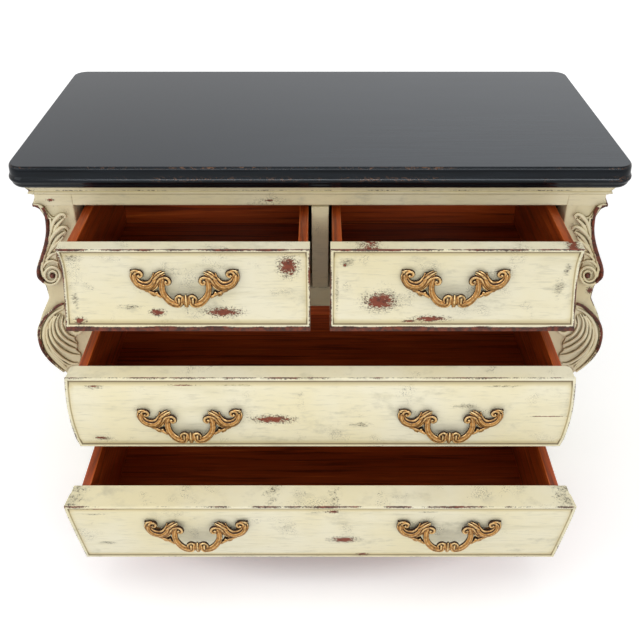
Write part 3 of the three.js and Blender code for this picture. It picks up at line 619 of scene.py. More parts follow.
def makeCornice():
    low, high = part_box("cornice_front")
    lines = [(proud / 1000, drop / 1000) for proud, drop in corniceShape["lines"]]
    widest, front, top = lines[0][0], low.y, high.z
    halfWidth, back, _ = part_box("cornice_right")[1]
    rear = back + 0.05
    middle, halfDepth = (front + rear) / 2, (rear - front) / 2
    deselectAll()
    bpy.ops.mesh.primitive_plane_add(size=2, location=(0, middle, top))
    cornice = bpy.context.object
    cornice.name = "cornice"
    cornice.scale = (halfWidth, halfDepth, 1)
    bpy.ops.object.transform_apply(location=True, rotation=True, scale=True)
    editSelect(cornice, "FACE", lambda face: True)
    for (proud, drop), (nextProud, nextDrop) in zip(lines, lines[1:]):
        inward, nextInward = widest - proud, widest - nextProud
        wide = (halfWidth - nextInward) / (halfWidth - inward)
        deep = (halfDepth - nextInward) / (halfDepth - inward)
        bpy.ops.mesh.extrude_region_move(TRANSFORM_OT_translate={"value": (0, 0, drop - nextDrop)})
        bpy.ops.transform.resize(value=(wide, deep, 1), center_override=(0, middle, top - nextDrop))
    # The core is opened from top to bottom and closed again as an upright wall against the carcass
    for proud, drop in (lines[0], lines[-1]):
        editSelect(cornice, "FACE", lambda face: abs(face.normal.z) > 0.9 and face.calc_area() > 0.2
                   and at(face.calc_center_median().z, top - drop))
        bpy.ops.mesh.inset(thickness=proud - corniceShape["clearance"], depth=0)
        bpy.ops.mesh.delete(type="FACE")
    editSelect(cornice, "EDGE", lambda edge: edge.is_boundary)
    bpy.ops.mesh.bridge_edge_loops()
    bpy.ops.mesh.select_all(action="SELECT")
    bpy.ops.mesh.bisect(plane_co=(0, back, 0), plane_no=(0, 1, 0), clear_outer=True, use_fill=True)
    bpy.ops.mesh.select_all(action="SELECT")
    bpy.ops.mesh.normals_make_consistent(inside=False)
    leaveEdit()
    # Loops beside the corners keep their wear there
    sliceAt(cornice, 0, (0.02 - halfWidth, halfWidth - 0.02))
    sliceAt(cornice, 1, (front + 0.02,))
    leaveEdit()
    place = coordinates(cornice)
    drop = top - place[:, 2]
    atCorner = band(np.hypot(np.abs(place[:, 0]) - halfWidth, place[:, 1] - front), 0, 0.02)
    mark(cornice, "crest", band(drop, 0.0208, 0.003) * 0.5 + atCorner * 0.9)
    # Darker lines in the two grooves, and painted shade on the band right under the top
    mark(cornice, "hollow", band(drop, 0.0236, 0.0016) * 0.3 + band(drop, 0, 0.009) * 0.2
         + band(drop, 0.0305, 0.0018) * 0.7)
    smoothShade(cornice, 40)
    dress(cornice, carcassPaint, "carcass", "cream_paint", "cornice_front", "cornice_left", "cornice_right")


makeCornice()
print("cornice made")


# Rails, divider and apron with eased edges

railShape = {"lift": 0.003, "lowerRound": 0.0045, "proud": 0.0014, "capEnd": 0.5775, "eased": 0.0012,
             "friezeEased": 0.0008, "loop": 0.003,
             "wear": {"frieze_rail": 0.22, "upper_rail": 0.35, "lower_rail": 0.35, "centre_divider": 0.3}}


def makeFrieze(name, low, high):
    # The rail has a rounded lower edge, and a cap over each post
    front, lower = low.y - railShape["proud"], low.z + railShape["lift"]
    rail = addBox(name, (low.x, front, lower), high)
    editSelect(rail, "EDGE", lambda edge: all(vert.co.y < low.y + 0.001 and vert.co.z < low.z + 0.01
                                              for vert in edge.verts))
    bpy.ops.mesh.bevel(offset=railShape["lowerRound"], segments=4, affect="EDGES")
    leaveEdit()
    caps = []
    for side in (1, -1):
        ends = sorted((side * (high.x + 0.0001), side * railShape["capEnd"]))
        cap = addBox("cap", (ends[0], front, lower), (ends[1], low.y + 0.002, high.z))
        roundEdges(cap, railShape["friezeEased"])
        supportLoops(cap, railShape["loop"], "y")
        caps.append(cap)
    roundEdges(rail, railShape["friezeEased"])
    supportLoops(rail, railShape["loop"])
    return joinPieces(name, [rail, *caps])


def makeRails():
    for node, wear in railShape["wear"].items():
        if node == "frieze_rail":
            rail = makeFrieze(node + "_eased", *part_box(node))
        else:
            rail = addBox(node + "_eased", *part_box(node))
            roundEdges(rail, railShape["eased"])
            supportLoops(rail, railShape["loop"])
        markArrises(rail, wear)
        smoothShade(rail)
        dress(rail, carcassPaint, "carcass", "cream_paint", node)


apronShape = {"line": [(1, 0), (0.86, 0.1), (0.7, 0.75), (0.5, 1), (0.3, 0.85), (0.14, 0.3), (0, 0.1)],
              "rise": 0.022, "eased": 0.002, "loop": 0.004, "wear": 0.7}


def throughPoints(points, count):
    # Smooth line through points, as a list
    points = [Vector((*point, 0)[:3]) for point in points]
    ends = [points[0] * 2 - points[1]] + points + [points[-1] * 2 - points[-2]]
    line = []
    for k in range(count + 1):
        place = k / count * (len(points) - 1)
        start = min(int(place), len(points) - 2)
        t = place - start
        a, b, c, d = ends[start:start + 4]
        line.append(0.5 * ((2 * b) + (c - a) * t + (2 * a - 5 * b + 4 * c - d) * t ** 2
                           + (3 * b - a - 3 * c + d) * t ** 3))
    return line


def makeApron():
    low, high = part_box("front_apron")
    apron = addBox("shaped_apron", low, high)
    line = [(point.x, point.y) for point in throughPoints(apronShape["line"], 18)]
    right = [(x * high.x, low.z + share * apronShape["rise"]) for x, share in line]
    stations = sorted(right + [(-x, z) for x, z in right if x > 0.001])
    sliceAt(apron, 0, [x for x, z in stations[1:-1]])
    for x, z in stations:
        slideVerts(apron, lambda vert: at(vert.co.x, x) and vert.co.z < low.z + 0.0001, (0, 0, z - low.z))
    leaveEdit()
    roundEdges(apron, apronShape["eased"], 2, 60)
    supportLoops(apron, apronShape["loop"], "yY")
    markArrises(apron, apronShape["wear"], 20)
    smoothShade(apron)
    dress(apron, carcassPaint, "carcass", "cream_paint", "front_apron")


makeRails()
makeApron()
print("rails and apron made")


# Posts and sides. Lines are in shares of the post's reach from the opening and of its height

postLines = {
    "reach": 0.134, "opening": 0.5025, "height": 0.8247, "eased": 0.003, "loop": 0.004,
    "rearWear": 0.45, "frontWear": 0.85, "earWear": 1.8, "ear": (0.914, 0.936),
    "outer": [(0.563, 1), (0.566, 0.957), (0.588, 0.943), (0.63, 0.9325), (0.632, 0.9275), (0.56, 0.9235),
              (0.508, 0.91), (0.47, 0.889), (0.464, 0.867), (0.5, 0.846), (0.605, 0.8045), (0.714, 0.766),
              (0.792, 0.742), (0.805, 0.727), (0.78, 0.715), (0.728, 0.7045), (0.698, 0.694), (0.69, 0.672),
              (0.69, 0.656), (0.775, 0.63), (0.878, 0.598), (0.963, 0.561), (1, 0.518),
              (0.985, 0.479), (0.88, 0.444), (0.684, 0.404), (0.52, 0.36), (0.41, 0.3), (0.35, 0.235),
              (0.335, 0.175), (0.36, 0.115), (0.45, 0.062), (0.55, 0.034), (0.6, 0.016), (0.575, 0)],
    "inner": [(0, 1), (0, 0.08), (0.08, 0.066), (0.2, 0.045), (0.28, 0.016), (0.3, 0)],
    "side": [(0.563, 1), (0.535, 0.953), (0.4, 0.915), (0.32, 0.873), (0.36, 0.812), (0.475, 0.74), (0.615, 0.655),
             (0.75, 0.582), (0.8, 0.521), (0.745, 0.461), (0.56, 0.388), (0.375, 0.303), (0.285, 0.218),
             (0.265, 0.145), (0.3, 0.1), (0.42, 0.055), (0.55, 0.03), (0.6, 0.014), (0.575, 0)],
}


def lineReader(points):
    # Distance from the opening at a level, read off a smooth line of shares
    line = sorted((point.y, point.x) for point in throughPoints(points, len(points) * 12))
    levels, reaches = zip(*line)
    return lambda z: postLines["opening"] + postLines["reach"] * float(
        np.interp(z / postLines["height"], levels, reaches))


outerLine = lineReader(postLines["outer"])
innerLine = lineReader(postLines["inner"])
sideLine = lineReader(postLines["side"])


def shapedPost(name, low, high, inner, outer, levels):
    # Board in the plane of the front whose two upright edges follow lines
    post = addBox(name, low, high)
    within = [z for z in levels if low[2] + 0.001 < z < high[2] - 0.001]
    sliceAt(post, 2, within)
    halfway = (low[0] + high[0]) / 2
    for z in sorted({low[2], high[2], *within}):
        slideVerts(post, lambda vert: at(vert.co.z, z) and vert.co.x < halfway, (inner(z) - low[0], 0, 0))
        slideVerts(post, lambda vert: at(vert.co.z, z) and vert.co.x > halfway, (outer(z) - high[0], 0, 0))
    leaveEdit()
    return post


def keepToFaces(post, front, back):
    # Wear stays on the two arrises of a post's edge and off the steps of its outline
    place = coordinates(post)
    near = np.minimum(np.abs(place[:, 1] - front), np.abs(place[:, 1] - back)) < 0.004
    outward = np.interp(np.abs(place[:, 0]), (0.51, 0.53), (0.3, 1))
    mark(post, "crest", marked(post, "crest") * near * outward)


def markEar(piece, strength):
    # The ear at the head of a front post is rubbed through
    place = coordinates(piece)
    level = place[:, 2] / postLines["height"]
    share = (np.abs(place[:, 0]) - postLines["opening"]) / postLines["reach"]
    earLow, earHigh = postLines["ear"]
    ear = (level > earLow) & (level < earHigh) & (share > 0.5)
    mark(piece, "crest", np.maximum(marked(piece, "crest"), ear * strength))


def makeRearPosts():
    low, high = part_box("right_rear_post")
    post = shapedPost("right_rear_leg", low, high, innerLine, sideLine, np.linspace(0, high.z, 46))
    sliceAt(post, 1, (low.y + 0.007, high.y - 0.007))
    roundEdges(post, postLines["eased"], 2, 55)
    supportLoops(post, postLines["loop"], "yY")
    markArrises(post, postLines["rearWear"], 20)
    keepToFaces(post, low.y, high.y)
    smoothShade(post, 40)
    dressPair(post, sidePaint, "right_rear_post")


sideShape = {"thickness": 0.018, "archRise": 0.04, "archStop": 0.028, "lowest": 0.1196, "eased": 0.0015}


def makeSides():
    low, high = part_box("right_side_panel")
    outer = lambda z: sideLine(max(z, sideShape["lowest"]))
    inner = lambda z: outer(z) - sideShape["thickness"]
    panel = shapedPost("right_side", low, high, inner, outer, np.linspace(low.z, high.z, 52))
    # An arch is cut out of the lower edge
    front, back = low.y + sideShape["archStop"], high.y - sideShape["archStop"]
    arch = addBox("arch", (low.x - 0.05, front, low.z - 0.05), (high.x + 0.05, back, low.z))
    stations = np.linspace(front, back, 25)
    sliceAt(arch, 1, stations[1:-1])
    middle, half = (front + back) / 2, (back - front) / 2
    for y in stations:
        rise = sideShape["archRise"] * math.sqrt(max(0, 1 - ((y - middle) / half) ** 2))
        slideVerts(arch, lambda vert: at(vert.co.y, y) and vert.co.z > low.z - 0.01, (0, 0, rise))
    leaveEdit()
    applyModifier(panel, "BOOLEAN", operation="DIFFERENCE", object=arch, solver="EXACT")
    bpy.data.objects.remove(arch)
    roundEdges(panel, sideShape["eased"], 2, 60)
    smoothShade(panel, 30)
    dressPair(panel, sidePaint, "right_side_panel")


makeRearPosts()
makeSides()
print("sides made")


# Carving. Each strand has its line in shares, then its radius and the height of its crest in mm at both
# ends and in the middle

leafCarving = {
    "outerBead": ([(0.452, 0.645), (0.566, 0.636), (0.689, 0.619), (0.807, 0.599), (0.902, 0.576), (0.955, 0.551),
                   (0.972, 0.523), (0.967, 0.497), (0.925, 0.472), (0.855, 0.449), (0.765, 0.428), (0.689, 0.413)],
                  (2.5, 4.4, 2.4), (9, 14, 9)),
    "innerBead": ([(0.463, 0.628), (0.584, 0.619), (0.697, 0.604), (0.795, 0.583), (0.861, 0.557), (0.887, 0.532),
                   (0.875, 0.505), (0.827, 0.481), (0.754, 0.459), (0.67, 0.437), (0.645, 0.427)],
                  (2.2, 4.4, 2), (8, 14.5, 8)),
    "fluteE": ([(0.693, 0.597), (0.784, 0.574), (0.828, 0.549), (0.829, 0.523), (0.785, 0.499), (0.713, 0.477),
                (0.615, 0.457), (0.486, 0.444), (0.41, 0.444)], (1.5, 4.2, 2.4), (9, 16, 10)),
    "fluteD": ([(0.636, 0.606), (0.725, 0.583), (0.761, 0.557), (0.748, 0.532), (0.689, 0.508), (0.592, 0.488),
                (0.465, 0.475), (0.338, 0.471)], (1.5, 4.4, 2.6), (9, 17, 10)),
    "fluteC": ([(0.585, 0.61), (0.67, 0.587), (0.696, 0.564), (0.674, 0.54), (0.601, 0.519), (0.501, 0.502),
                (0.393, 0.491)], (1.5, 4.4, 2.8), (9, 17.5, 10)),
    "fluteB": ([(0.536, 0.612), (0.606, 0.591), (0.625, 0.57), (0.594, 0.549), (0.516, 0.528), (0.422, 0.515),
                (0.363, 0.508)], (1.5, 4.2, 2.8), (9, 17, 10)),
    "fluteA": ([(0.492, 0.608), (0.536, 0.587), (0.536, 0.568), (0.493, 0.549), (0.431, 0.537), (0.383, 0.532)],
               (1.5, 3.8, 2.8), (9, 16, 10)),
    "lobe": ([(0.481, 0.57), (0.409, 0.557), (0.333, 0.549), (0.254, 0.553), (0.22, 0.559)],
             (1.8, 4, 2.8), (9, 13, 9)),
    "midA": ([(0.46, 0.6), (0.49, 0.582), (0.47, 0.566), (0.43, 0.556)], (1.5, 3.6, 2), (8, 13, 9)),
    "midB": ([(0.72, 0.6), (0.815, 0.566), (0.85, 0.53), (0.8, 0.488), (0.7, 0.457), (0.6, 0.437), (0.52, 0.432)],
             (1.2, 3, 1.6), (8, 12, 7)),
}
scrollCarving = {
    "horn": ([(0.6, 0.932), (0.535, 0.936), (0.47, 0.932), (0.43, 0.918), (0.405, 0.898)],
             (2.4, 3.6, 3), (8, 12, 11)),
    "outerBead": ([(0.44, 0.927), (0.43, 0.906), (0.434, 0.885), (0.452, 0.863), (0.494, 0.838), (0.556, 0.812),
                   (0.631, 0.786), (0.698, 0.763), (0.737, 0.744), (0.74, 0.727), (0.7, 0.717)],
                  (2.6, 4.2, 3.6), (10, 14, 12)),
    "innerRib": ([(0.369, 0.901), (0.384, 0.878), (0.429, 0.852), (0.495, 0.827), (0.565, 0.801), (0.63, 0.774),
                  (0.668, 0.752), (0.667, 0.73)], (2, 3.8, 2.6), (9, 13.5, 11)),
    "lobe1": ([(0.489, 0.827), (0.413, 0.858), (0.343, 0.885), (0.252, 0.904), (0.166, 0.912), (0.132, 0.908),
               (0.148, 0.9)], (2, 4.2, 2.6), (9, 14.5, 10)),
    "lobe1Rib": ([(0.47, 0.822), (0.375, 0.855), (0.295, 0.878), (0.205, 0.893), (0.165, 0.898)],
                 (1.6, 3.8, 2), (9, 12.5, 9)),
    "lobe2": ([(0.549, 0.797), (0.469, 0.827), (0.375, 0.852), (0.273, 0.869), (0.189, 0.877), (0.142, 0.874),
               (0.134, 0.867)], (2, 4.2, 2.6), (9, 15.5, 10)),
    "lobe2Rib": ([(0.523, 0.795), (0.42, 0.823), (0.31, 0.846), (0.22, 0.858), (0.17, 0.862)],
                 (1.6, 3.8, 2), (9, 13, 9)),
    "lobe3": ([(0.587, 0.782), (0.464, 0.808), (0.349, 0.828), (0.259, 0.841), (0.226, 0.848)],
              (1.8, 3.4, 2), (9, 12.5, 9)),
    "smallLeaf": ([(0.61, 0.77), (0.537, 0.786), (0.453, 0.797), (0.379, 0.801)], (1.8, 3.2, 1.8), (9, 12, 8)),
    "cap": ([(0.643, 0.758), (0.572, 0.772), (0.475, 0.778), (0.387, 0.771)], (2, 3, 2), (10, 12.5, 9)),
    "ring": ([(0.706, 0.716), (0.627, 0.707), (0.523, 0.708), (0.429, 0.722), (0.391, 0.74), (0.416, 0.755),
              (0.494, 0.761), (0.579, 0.754), (0.634, 0.739), (0.628, 0.724), (0.558, 0.717), (0.481, 0.724),
              (0.445, 0.737)], (3, 3.2, 2.4), (12, 14, 13)),
    "inner": ([(0.445, 0.737), (0.47, 0.747), (0.53, 0.747), (0.578, 0.738)], (2.4, 2.4, 1.8), (12.5, 12, 11)),
}
leafGround = [
    (0.454, 0.643), (0.557, 0.634), (0.678, 0.62), (0.781, 0.604), (0.885, 0.578), (0.947, 0.553), (0.972, 0.527),
    (0.968, 0.501), (0.925, 0.475), (0.85, 0.45), (0.766, 0.432), (0.687, 0.413), (0.6, 0.427), (0.5, 0.438),
    (0.4, 0.444), (0.34, 0.471), (0.4, 0.488), (0.36, 0.508), (0.39, 0.53), (0.28, 0.549), (0.46, 0.58), (0.45, 0.61),
]
scrollGround = [
    (0.59, 0.93), (0.5, 0.92), (0.46, 0.9), (0.45, 0.868), (0.48, 0.845), (0.58, 0.806), (0.7, 0.767), (0.745, 0.742),
    (0.71, 0.72), (0.62, 0.708), (0.5, 0.708), (0.41, 0.725), (0.39, 0.74), (0.41, 0.765), (0.39, 0.8), (0.25, 0.84),
    (0.17, 0.862), (0.3, 0.875), (0.2, 0.9), (0.34, 0.9), (0.4, 0.915), (0.44, 0.932),
]
carvingShape = {"face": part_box("frieze_rail")[0].y, "ground": 0.0055, "depthIntoPost": 0.003,
                "voxel": 0.0009, "rim": 0.004, "eye": (0.522, 0.7325), "eyeRadius": 0.0062,
                "eyeHeight": 0.0082, "smoothing": 0.5, "rimWear": 1.4, "crestWear": 0.3, "earWear": 1.6,
                # relief also lays painted shade on the flanks of the carving, turned away from the front
                "relief": {"rounds": 14, "scale": 0.0011, "sideShade": 0.45}}


def onPost(share):
    return (postLines["opening"] + share[0] * postLines["reach"], share[1] * postLines["height"])


def spread(ends, count):
    # Start, middle and end value drawn out over the points of a line
    return np.interp(np.linspace(0, 1, count), (0, 0.5, 1), ends)


def addStrands(name, strands, bevelSteps):
    # strands: lists of (place, radius) along each line, made as round bars that join into one mesh
    curve = bpy.data.curves.new(name, "CURVE")
    curve.dimensions = "3D"
    curve.resolution_u = 6
    curve.bevel_depth = 1
    curve.bevel_resolution = bevelSteps
    curve.use_fill_caps = True
    for strand in strands:
        spline = curve.splines.new("BEZIER")
        spline.bezier_points.add(len(strand) - 1)
        for point, (place, radius) in zip(spline.bezier_points, strand):
            point.co = place
            point.radius = radius
            point.handle_left_type = point.handle_right_type = "AUTO"
    piece = bpy.data.objects.new(name, curve)
    bpy.context.collection.objects.link(piece)
    pick(piece)
    bpy.ops.object.convert(target="MESH")
    return bpy.context.object


def addPlate(name, outline, front, back):
    # Flat plate cut to an outline in X and Z
    deselectAll()
    bpy.ops.mesh.primitive_circle_add(vertices=len(outline), radius=0.01, fill_type="NGON")
    plate = bpy.context.object
    plate.name = name
    for vert, (x, z) in zip(plate.data.vertices, outline):
        vert.co = (x, front, z)
    editSelect(plate, "FACE", lambda face: True)
    bpy.ops.mesh.extrude_region_move(TRANSFORM_OT_translate={"value": (0, back - front, 0)})
    bpy.ops.mesh.select_all(action="SELECT")
    bpy.ops.mesh.normals_make_consistent(inside=False)
    leaveEdit()
    return plate


def carve(name, table, ground):
    face = carvingShape["face"]
    strands = []
    for line, radii, crests in table.values():
        places = [onPost(share) for share in line]
        sizes = spread(radii, len(line)) / 1000
        heights = spread(crests, len(line)) / 1000
        strands.append([((x, face - height + radius, z), radius)
                        for (x, z), radius, height in zip(places, sizes, heights)])
    bars = addStrands(name, strands, 3)
    outline = throughPoints([onPost(share) for share in ground], len(ground) * 3)
    plate = addPlate(name + "Ground", [(point.x, point.y) for point in outline],
                     face - carvingShape["ground"], face + carvingShape["depthIntoPost"])
    carving = joinPieces(name, [bars, plate])
    applyModifier(carving, "REMESH", mode="VOXEL", voxel_size=carvingShape["voxel"])
    applyModifier(carving, "SMOOTH", factor=carvingShape["smoothing"], iterations=2)
    markRelief(carving, **carvingShape["relief"])
    # The outer rim is rubbed through all along
    rim = [onPost((point.x, point.y)) for point in throughPoints(table["outerBead"][0], 60)]
    place = coordinates(carving)
    away = np.min([np.hypot(place[:, 0] - x, place[:, 2] - z) for x, z in rim], axis=0)
    outer = np.clip(1.5 - away / carvingShape["rim"], 0, 1) * (place[:, 1] < face - 0.004) * carvingShape["rimWear"]
    outer *= np.interp(place[:, 2] / postLines["height"], (0.44, 0.5), (0.3, 1))
    mark(carving, "crest", np.maximum(marked(carving, "crest") * carvingShape["crestWear"], outer))
    markEar(carving, carvingShape["earWear"])
    return carving


def makeFrontPosts():
    low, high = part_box("right_front_post")
    face, back = carvingShape["face"], high.y
    levels = np.linspace(0, 1, 100) * postLines["height"]
    body = shapedPost("right_post", (low.x, face, low.z), (high.x, back, high.z), innerLine, outerLine, levels)
    sliceAt(body, 1, (face + 0.008, back - 0.008))
    roundEdges(body, postLines["eased"], 3, 55)
    supportLoops(body, postLines["loop"], "yY")
    markArrises(body, postLines["frontWear"], 20)
    keepToFaces(body, face, back)
    markEar(body, postLines["earWear"])
    smoothShade(body, 40)
    x, z = onPost(carvingShape["eye"])
    deselectAll()
    bpy.ops.mesh.primitive_uv_sphere_add(radius=carvingShape["eyeRadius"], segments=16, ring_count=10,
                                         location=(x, face - carvingShape["eyeHeight"], z))
    eye = bpy.context.object
    eye.name = "right_volute_eye"
    bpy.ops.object.transform_apply(location=True, rotation=True, scale=True)
    mark(eye, "crest", 1)
    scroll = carve("right_scroll", scrollCarving, scrollGround)
    leaf = carve("right_leaf", leafCarving, leafGround)
    for piece in (scroll, leaf, eye):
        smoothShade(piece, 180)
    for piece, material in ((body, postPaint), (scroll, carvingPaint), (leaf, carvingPaint), (eye, barePaint)):
        dressPair(piece, material, "right_front_post")


makeFrontPosts()
print("front posts carved")


# Drawers: each front has its thickness at the lower edge, the middle and the upper edge, and how far its ends
# stand out in mm at seven levels from the lower edge up

drawers = {
    "upper_left_drawer": {
        "thickness": (0.030, 0.0185, 0.030), "outline": (9, 6.5, 2, -2.2, -5.2, -4.5, -3.5),
        "wear": 1.15, "endWear": 0.8, "strip": 0.008, "lowWear": 1.3,
        "scuffs": [(-0.472, 0.742, 0.020, 0.012), (-0.375, 0.625, 0.022, 0.005), (-0.481, 0.640, 0.006, 0.016)],
        "patches": [(-0.061, 0.720, 0.015, 0.020), (-0.322, 0.613, 0.012, 0.006), (-0.191, 0.613, 0.028, 0.008),
                    (-0.478, 0.595, 0.009, 0.006), (-0.021, 0.698, 0.002, 0.022)],
    },
    "upper_right_drawer": {
        "thickness": (0.030, 0.0185, 0.030), "outline": (9, 6.5, 2, -2.2, -5.2, -4.5, -3.5),
        "wear": 1.05, "endWear": 0.8, "strip": 0.008, "lowWear": 1.15,
        "scuffs": [(0.474, 0.712, 0.006, 0.014), (0.466, 0.668, 0.009, 0.020), (0.335, 0.7545, 0.045, 0.0025),
                   (0.052, 0.728, 0.014, 0.010), (0.033, 0.66, 0.003, 0.04)],
        "patches": [(0.478, 0.7615, 0.010, 0.0022), (0.118, 0.637, 0.026, 0.016), (0.219, 0.599, 0.028, 0.005),
                    (0.093, 0.7618, 0.018, 0.0016), (0.047, 0.722, 0.003, 0.004), (0.179, 0.594, 0.012, 0.002)],
    },
    "middle_drawer": {
        "thickness": (0.056, 0.055, 0.038), "outline": (-7, -2, 2.5, 4, 3.5, 3, 2), "wear": 0.3, "endWear": 2,
        "backRound": 0.011,
        "patches": [(-0.093, 0.425, 0.032, 0.008), (-0.447, 0.500, 0.012, 0.0012), (-0.447, 0.376, 0.010, 0.003),
                    (-0.270, 0.502, 0.022, 0.001), (0.457, 0.432, 0.028, 0.0008)],
        "scuffs": [(-0.445, 0.498, 0.022, 0.004), (0.288, 0.456, 0.020, 0.006), (0.080, 0.412, 0.022, 0.005),
                   (0.365, 0.500, 0.030, 0.0025), (-0.163, 0.502, 0.034, 0.002), (-0.44, 0.374, 0.014, 0.005)],
    },
    "bottom_drawer": {
        "thickness": (0.022, 0.041, 0.057), "outline": (0, 0.9, 3, 4.6, 6, 6.4, 6.5), "wear": 0.42, "endWear": 1.3,
        "taper": True,
        "patches": [(0.025, 0.284, 0.010, 0.004), (0.048, 0.180, 0.022, 0.009), (0.090, 0.120, 0.010, 0.004),
                    (-0.438, 0.2935, 0.030, 0.0015), (-0.254, 0.141, 0.010, 0.002)],
        "scuffs": [(-0.494, 0.306, 0.024, 0.006), (0.490, 0.306, 0.024, 0.006), (0.027, 0.306, 0.014, 0.005),
                   (-0.098, 0.306, 0.018, 0.005), (-0.45, 0.275, 0.022, 0.0025), (-0.445, 0.168, 0.018, 0.005),
                   (0.215, 0.283, 0.016, 0.002), (0.42, 0.118, 0.024, 0.002)],
    },
}
frontShape = {
    "bands": 14, "margin": 0.0225, "lip": 0.006, "outlineLevels": (0, 0.12, 0.4, 0.6, 0.8, 0.93, 1),
    # bead round the face: width and rise of each step in mm, then a plain margin
    "bead": [(0.5, 0.9), (0.9, 0.7), (1.7, 0.2), (1.7, -0.2), (0.9, -0.7), (0.5, -1.3), (0.9, -0.5), (0.9, 0.4),
             (0.9, 0.5), (12, 0)],
    # reaches of the wear along the edges, of that at the lower edge and of the glaze in the bead, in mm and shares
    "rub": ((0, 0.8, 1.6, 4, 5.5), (1, 0.8, 0.4, 0.24, 0)), "lowRub": ((0, 0.4, 1.8), (1, 0.9, 0)),
    "glaze": ((5.2, 6.4, 8, 9.4, 21), (0, 1, 0.6, 0.12, 0)),
    "core": 0.01,  # thickness of the board before its face is drawn forward
    # a tapered front clears the posts up to its first depth. The second is where half of the outline is reached
    "taper": ((0.0195, 0.6), (0.027, 0.8)), "clear": 0.0009, "loops": (0.005,), "taperLoops": (0.002, 0.0035, 0.005),
    "boardBevel": 0.0012, "sideGroove": 0.006, "boardLoop": 0.003, "glueLine": 0.0016,
}


def thicknessAt(thickness, share):
    lower, middle, upper = thickness
    bulge = 2 * middle - (lower + upper) / 2
    return (1 - share) ** 2 * lower + 2 * share * (1 - share) * bulge + share ** 2 * upper


def shapeEnds(board, wide, back, settings, level, share):
    # Draws one level of a front to its thickness, and its ends to their outline. A flare is only in front of the
    # lip, a taper widens from the posts' faces on, and a waist goes right through
    lip, core, taper = frontShape["lip"], frontShape["core"], settings.get("taper")
    thickness = thicknessAt(settings["thickness"], share)
    outward = float(np.interp(share, frontShape["outlineLevels"], settings["outline"])) / 1000
    behind = min(outward, 0)
    stations = [(thickness - lip, outward * 0.92 if taper else behind)]
    if taper:
        near, far = (min(depth, (thickness - lip) * most) for depth, most in frontShape["taper"])
        stations = [(near, min(outward, frontShape["clear"])), (far, outward * 0.5), *stations]

    def onLine(vert, depth):
        return at(vert.co.z, level) and at(vert.co.y, back - depth)

    loops = frontShape["taperLoops" if taper else "loops"]
    for loop, (depth, reach) in reversed([*zip(loops, stations)]):
        slideVerts(board, lambda vert: onLine(vert, loop), (0, loop - depth, 0))
    for side in (1, -1):
        for depth, reach in ((0, behind), *stations, (core, outward)):
            slideVerts(board, lambda vert: onLine(vert, depth) and vert.co.x * side > wide - 0.001,
                       (side * reach, 0, 0))
    slideVerts(board, lambda vert: onLine(vert, core), (0, core - thickness, 0))


def roundBack(board, wide, back, radius):
    # The corners at the back are rounded in plan
    steps = [share * radius for share in (0, 0.12, 0.34, 0.65)]
    sliceAt(board, 1, [back - step for step in (*steps[1:], radius)])
    for step in steps:
        inward = radius - math.sqrt(radius ** 2 - (radius - step) ** 2)
        for side in (1, -1):
            slideVerts(board, lambda vert: at(vert.co.y, back - step) and vert.co.x * side > wide - 0.012,
                       (-side * inward, 0, 0))


def wearFront(board, low, high, wide, settings):
    # Wear and glaze go by the distance from the edges of the face in mm
    strip = settings.get("strip", 0)
    x, y, z = coordinates(board).T
    shares = (z - low.z) / (high.z - low.z)
    flare = np.interp(shares, frontShape["outlineLevels"], settings["outline"]) / 1000
    leftFlare = flare if abs(low.x) > wide - 0.001 else 0
    rightFlare = flare if abs(high.x) > wide - 0.001 else 0
    fromEnd = np.minimum(x - low.x + leftFlare, high.x + rightFlare - x)
    fromLow = z - low.z - strip
    fromEdge = np.minimum(fromEnd, np.minimum(fromLow, high.z - z)) * 1000
    atEnd = fromEnd * 1000 < fromEdge + 0.01
    crest = np.interp(fromEdge, *frontShape["rub"]) * np.where(atEnd, settings["endWear"], 1)
    crest = np.maximum(crest, np.interp(fromLow * 1000, *frontShape["lowRub"]) * settings.get("lowWear", 0))
    hollow = np.interp(fromEdge, *frontShape["glaze"]) * np.where(atEnd, 0.45, 1)
    onFace = y < high.y - thicknessAt(settings["thickness"], shares) + 0.0022
    mark(board, "crest", np.where(onFace, crest, 0))
    mark(board, "hollow", np.where(onFace, hollow, 0))


def makeFront(name, settings):
    low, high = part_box(name + "_front")
    back, wide = high.y, max(abs(low.x), abs(high.x))
    board = addBox(name + "_face", (low.x, back - frontShape["core"], low.z), high)
    margin, strip = frontShape["margin"], settings.get("strip", 0)
    levels = [low.z, *np.linspace(low.z + strip + margin, high.z - margin, frontShape["bands"] - 1), high.z]
    if strip:
        levels.insert(1, low.z + strip)
    sliceAt(board, 2, levels[1:-1])
    sliceAt(board, 1, [back - depth for depth in frontShape["taperLoops" if settings.get("taper") else "loops"]])
    for level in levels:
        shapeEnds(board, wide, back, settings, level, (level - low.z) / (high.z - low.z))
    radius = settings.get("backRound", 0)
    if radius:
        roundBack(board, wide, back, radius)
    # Loops a little in from the edges of the top, the underside and the ends
    ends = () if radius else (lambda face: face.normal.x > 0.7, lambda face: face.normal.x < -0.7)
    for test in (lambda face: face.normal.z > 0.9, lambda face: face.normal.z < -0.9, *ends):
        editSelect(board, "FACE", test)
        insetSteps([(frontShape["boardLoop"], 0)])
    # The bead goes round the face, above the plain strip that some fronts have at their lower edge
    editSelect(board, "FACE", lambda face: face.normal.y < -0.72 and face.calc_center_median().z > low.z + strip)
    insetSteps([(width / 1000, rise / 1000) for width, rise in frontShape["bead"]])
    leaveEdit()
    wearFront(board, low, high, wide, settings)
    smoothShade(board, 50)
    paint = paintMaterial(name + "Cream", (0.9, 1.2, 7), settings["patches"], settings["scuffs"], settings["wear"])
    dress(board, paint, name, "front_paint", name + "_front")


